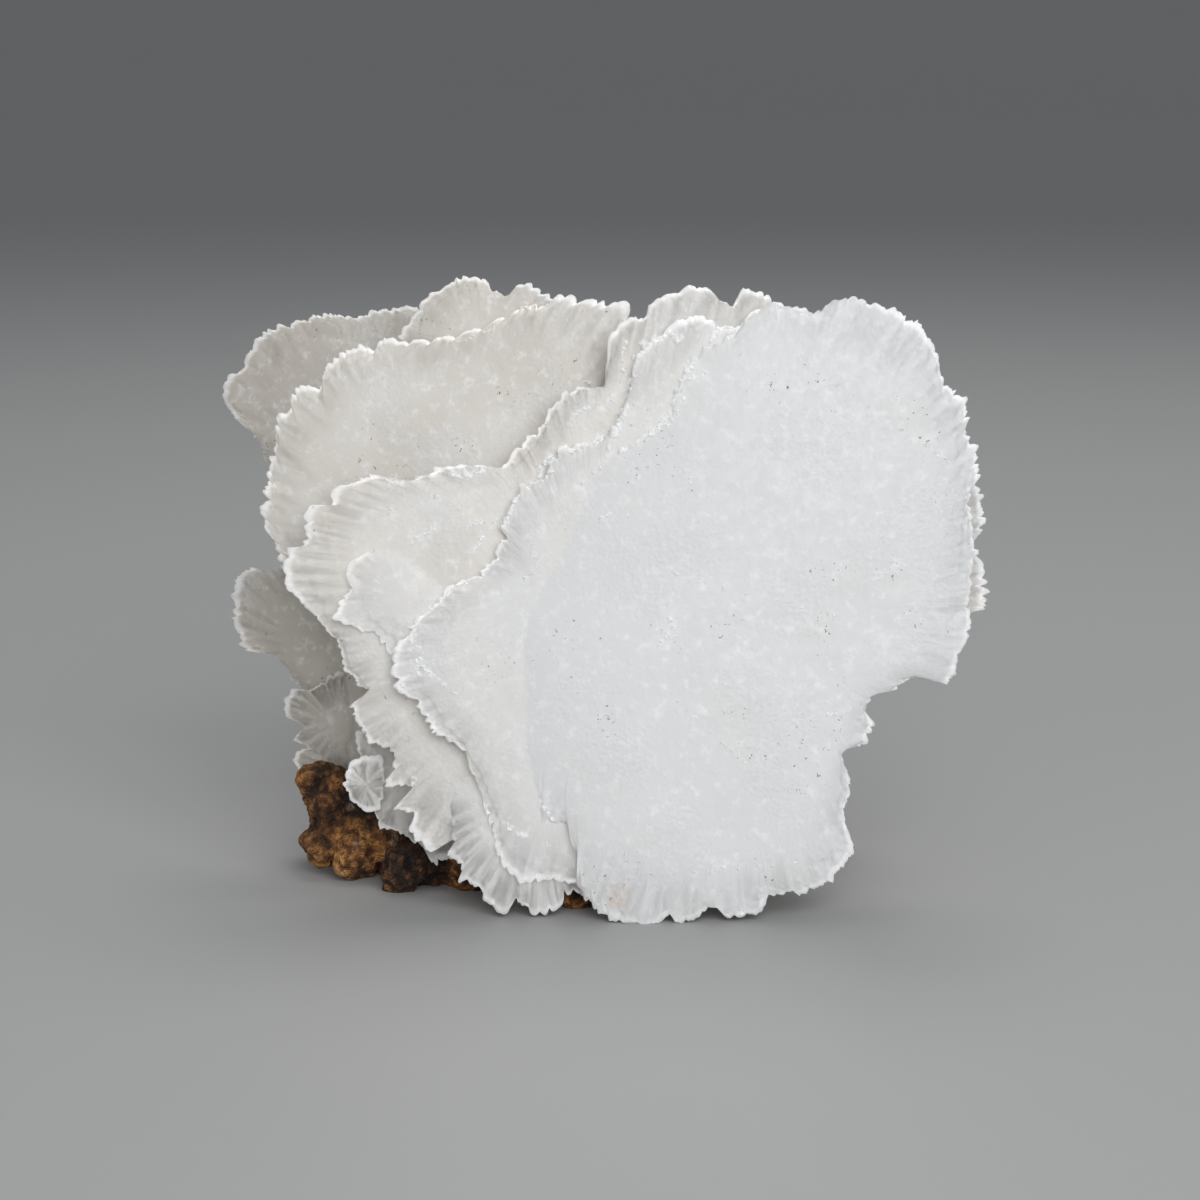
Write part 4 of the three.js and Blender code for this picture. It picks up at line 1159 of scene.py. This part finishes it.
def limonite_material():
    """Crumbly iron oxide: orange-brown grains and a few pale crusts, with painted shade in its hollows
    and between its grains.
    """
    n = Nodes("limonite")
    place = n.put("ShaderNodeTexCoord").outputs["Object"]
    hollow, crack, grain = (n.attribute(name) for name in ("hollow", "crack", "grain"))
    broad = n.noise(place, 110, 3.0, 0.6)
    fine = n.noise(place, 1100, 4.0, 0.65)
    tone = n.maths("ADD", n.times(broad, 0.6), n.times(fine, 0.3))
    tone = n.maths("ADD", tone, n.times(grain, 0.34))
    # The tone drops in the hollows, as painted shade.
    tone = n.maths("SUBTRACT", tone, n.times(hollow, 0.2))
    colour = n.ramp(tone, LIMONITE_TONES)
    crust = n.between(n.noise(place, 240, 2.0), 0.64, 0.72, 0.0, 0.55)
    colour = n.tint(colour, crust, CRUST)
    # Painted shade in the hollows.
    colour = n.tint(colour, n.between(hollow, 0.25, 0.85, 0.0, 0.7), HOLLOW_SHADE)
    # Painted shade between the grains.
    colour = n.tint(colour, n.between(crack, 0.55, 0.85, 0.0, 0.6), CRACK_SHADE)
    n.shade("Base Color", colour)
    n.shade("Roughness", n.between(grain, 0.2, 0.9, 0.9, 0.55))
    n.bumps((0.9, 0.0005, fine), (0.9, 0.0005, n.cell_depth(place, 2600.0)))
    return n.material


def add_camera():
    """The photograph's eye, looking at the aim point."""
    data = bpy.data.cameras.new("camera")
    data.lens = LENS
    data.sensor_width = SENSOR
    data.clip_start = 0.01
    data.clip_end = 20
    camera = add_object("camera", data)
    camera.location = Vector((eye - FOOTPRINT_MIDDLE) * MM)
    camera.rotation_euler = Vector(sight_forward).to_track_quat("-Z", "Y").to_euler()
    bpy.context.scene.camera = camera


def add_light(name, place, size, power, colour):
    """A round area light that faces the lit point."""
    data = bpy.data.lights.new(name, "AREA")
    data.shape = "DISK"
    data.size = size
    data.energy = power
    data.color = colour
    light = add_object(name, data)
    light.location = place
    light.rotation_euler = (Vector(LIT_POINT) - Vector(place)).to_track_quat("-Z", "Y").to_euler()


def add_floor():
    """One plain pale sheet: flat under the cluster, and turned up far away on every side."""
    rise = np.linspace(0, math.pi / 2, 13)[1:]
    rings = [(FLOOR_FLAT * r, 0.0) for r in (0.25, 0.5, 0.75, 1)]
    rings += [(FLOOR_FLAT + FLOOR_CURVE * math.sin(t), FLOOR_CURVE * (1 - math.cos(t))) for t in rise]
    turns = np.arange(FLOOR_SIDES) * 2 * math.pi / FLOOR_SIDES
    points = [(0.0, 0.0, 0.0)]
    points += [(r * math.cos(t), r * math.sin(t), z) for r, z in rings for t in turns]
    faces = [(0, 1 + i, 1 + (i + 1) % FLOOR_SIDES) for i in range(FLOOR_SIDES)]
    for k in range(len(rings) - 1):
        a, b = 1 + k * FLOOR_SIDES, 1 + (k + 1) * FLOOR_SIDES
        for i in range(FLOOR_SIDES):
            j = (i + 1) % FLOOR_SIDES
            faces.append((a + i, b + i, b + j, a + j))
    mesh = bpy.data.meshes.new("floor")
    mesh.from_pydata(points, [], faces)
    mesh.polygons.foreach_set("use_smooth", np.ones(len(mesh.polygons), dtype=bool))
    floor = add_object("floor", mesh)
    n = Nodes("floor")
    n.shade("Base Color", FLOOR_COLOUR)
    n.shade("Roughness", FLOOR_ROUGHNESS)
    mesh.materials.append(n.material)


def add_lights():
    """Plain soft studio light, and a faint even sky."""
    world = bpy.data.worlds.new("world")
    world.use_nodes = True
    background = world.node_tree.nodes["Background"]
    background.inputs["Color"].default_value = SKY
    background.inputs["Strength"].default_value = SKY_STRENGTH
    bpy.context.scene.world = world
    for light in LIGHTS:
        add_light(*light)
    view = bpy.context.scene.view_settings
    view.view_transform = "Standard"
    view.look = "None"


add_camera()
add_floor()
add_lights()
plates = [place_seen(row) for row in SEEN_PLATES] + [place_hidden(row) for row in HIDDEN_PLATES]
calcite = calcite_material()
for node in dict.fromkeys(plate["node"] for plate in plates):
    calcite_piece(node, [plate for plate in plates if plate["node"] == node], calcite)
matrix_piece(limonite_material())
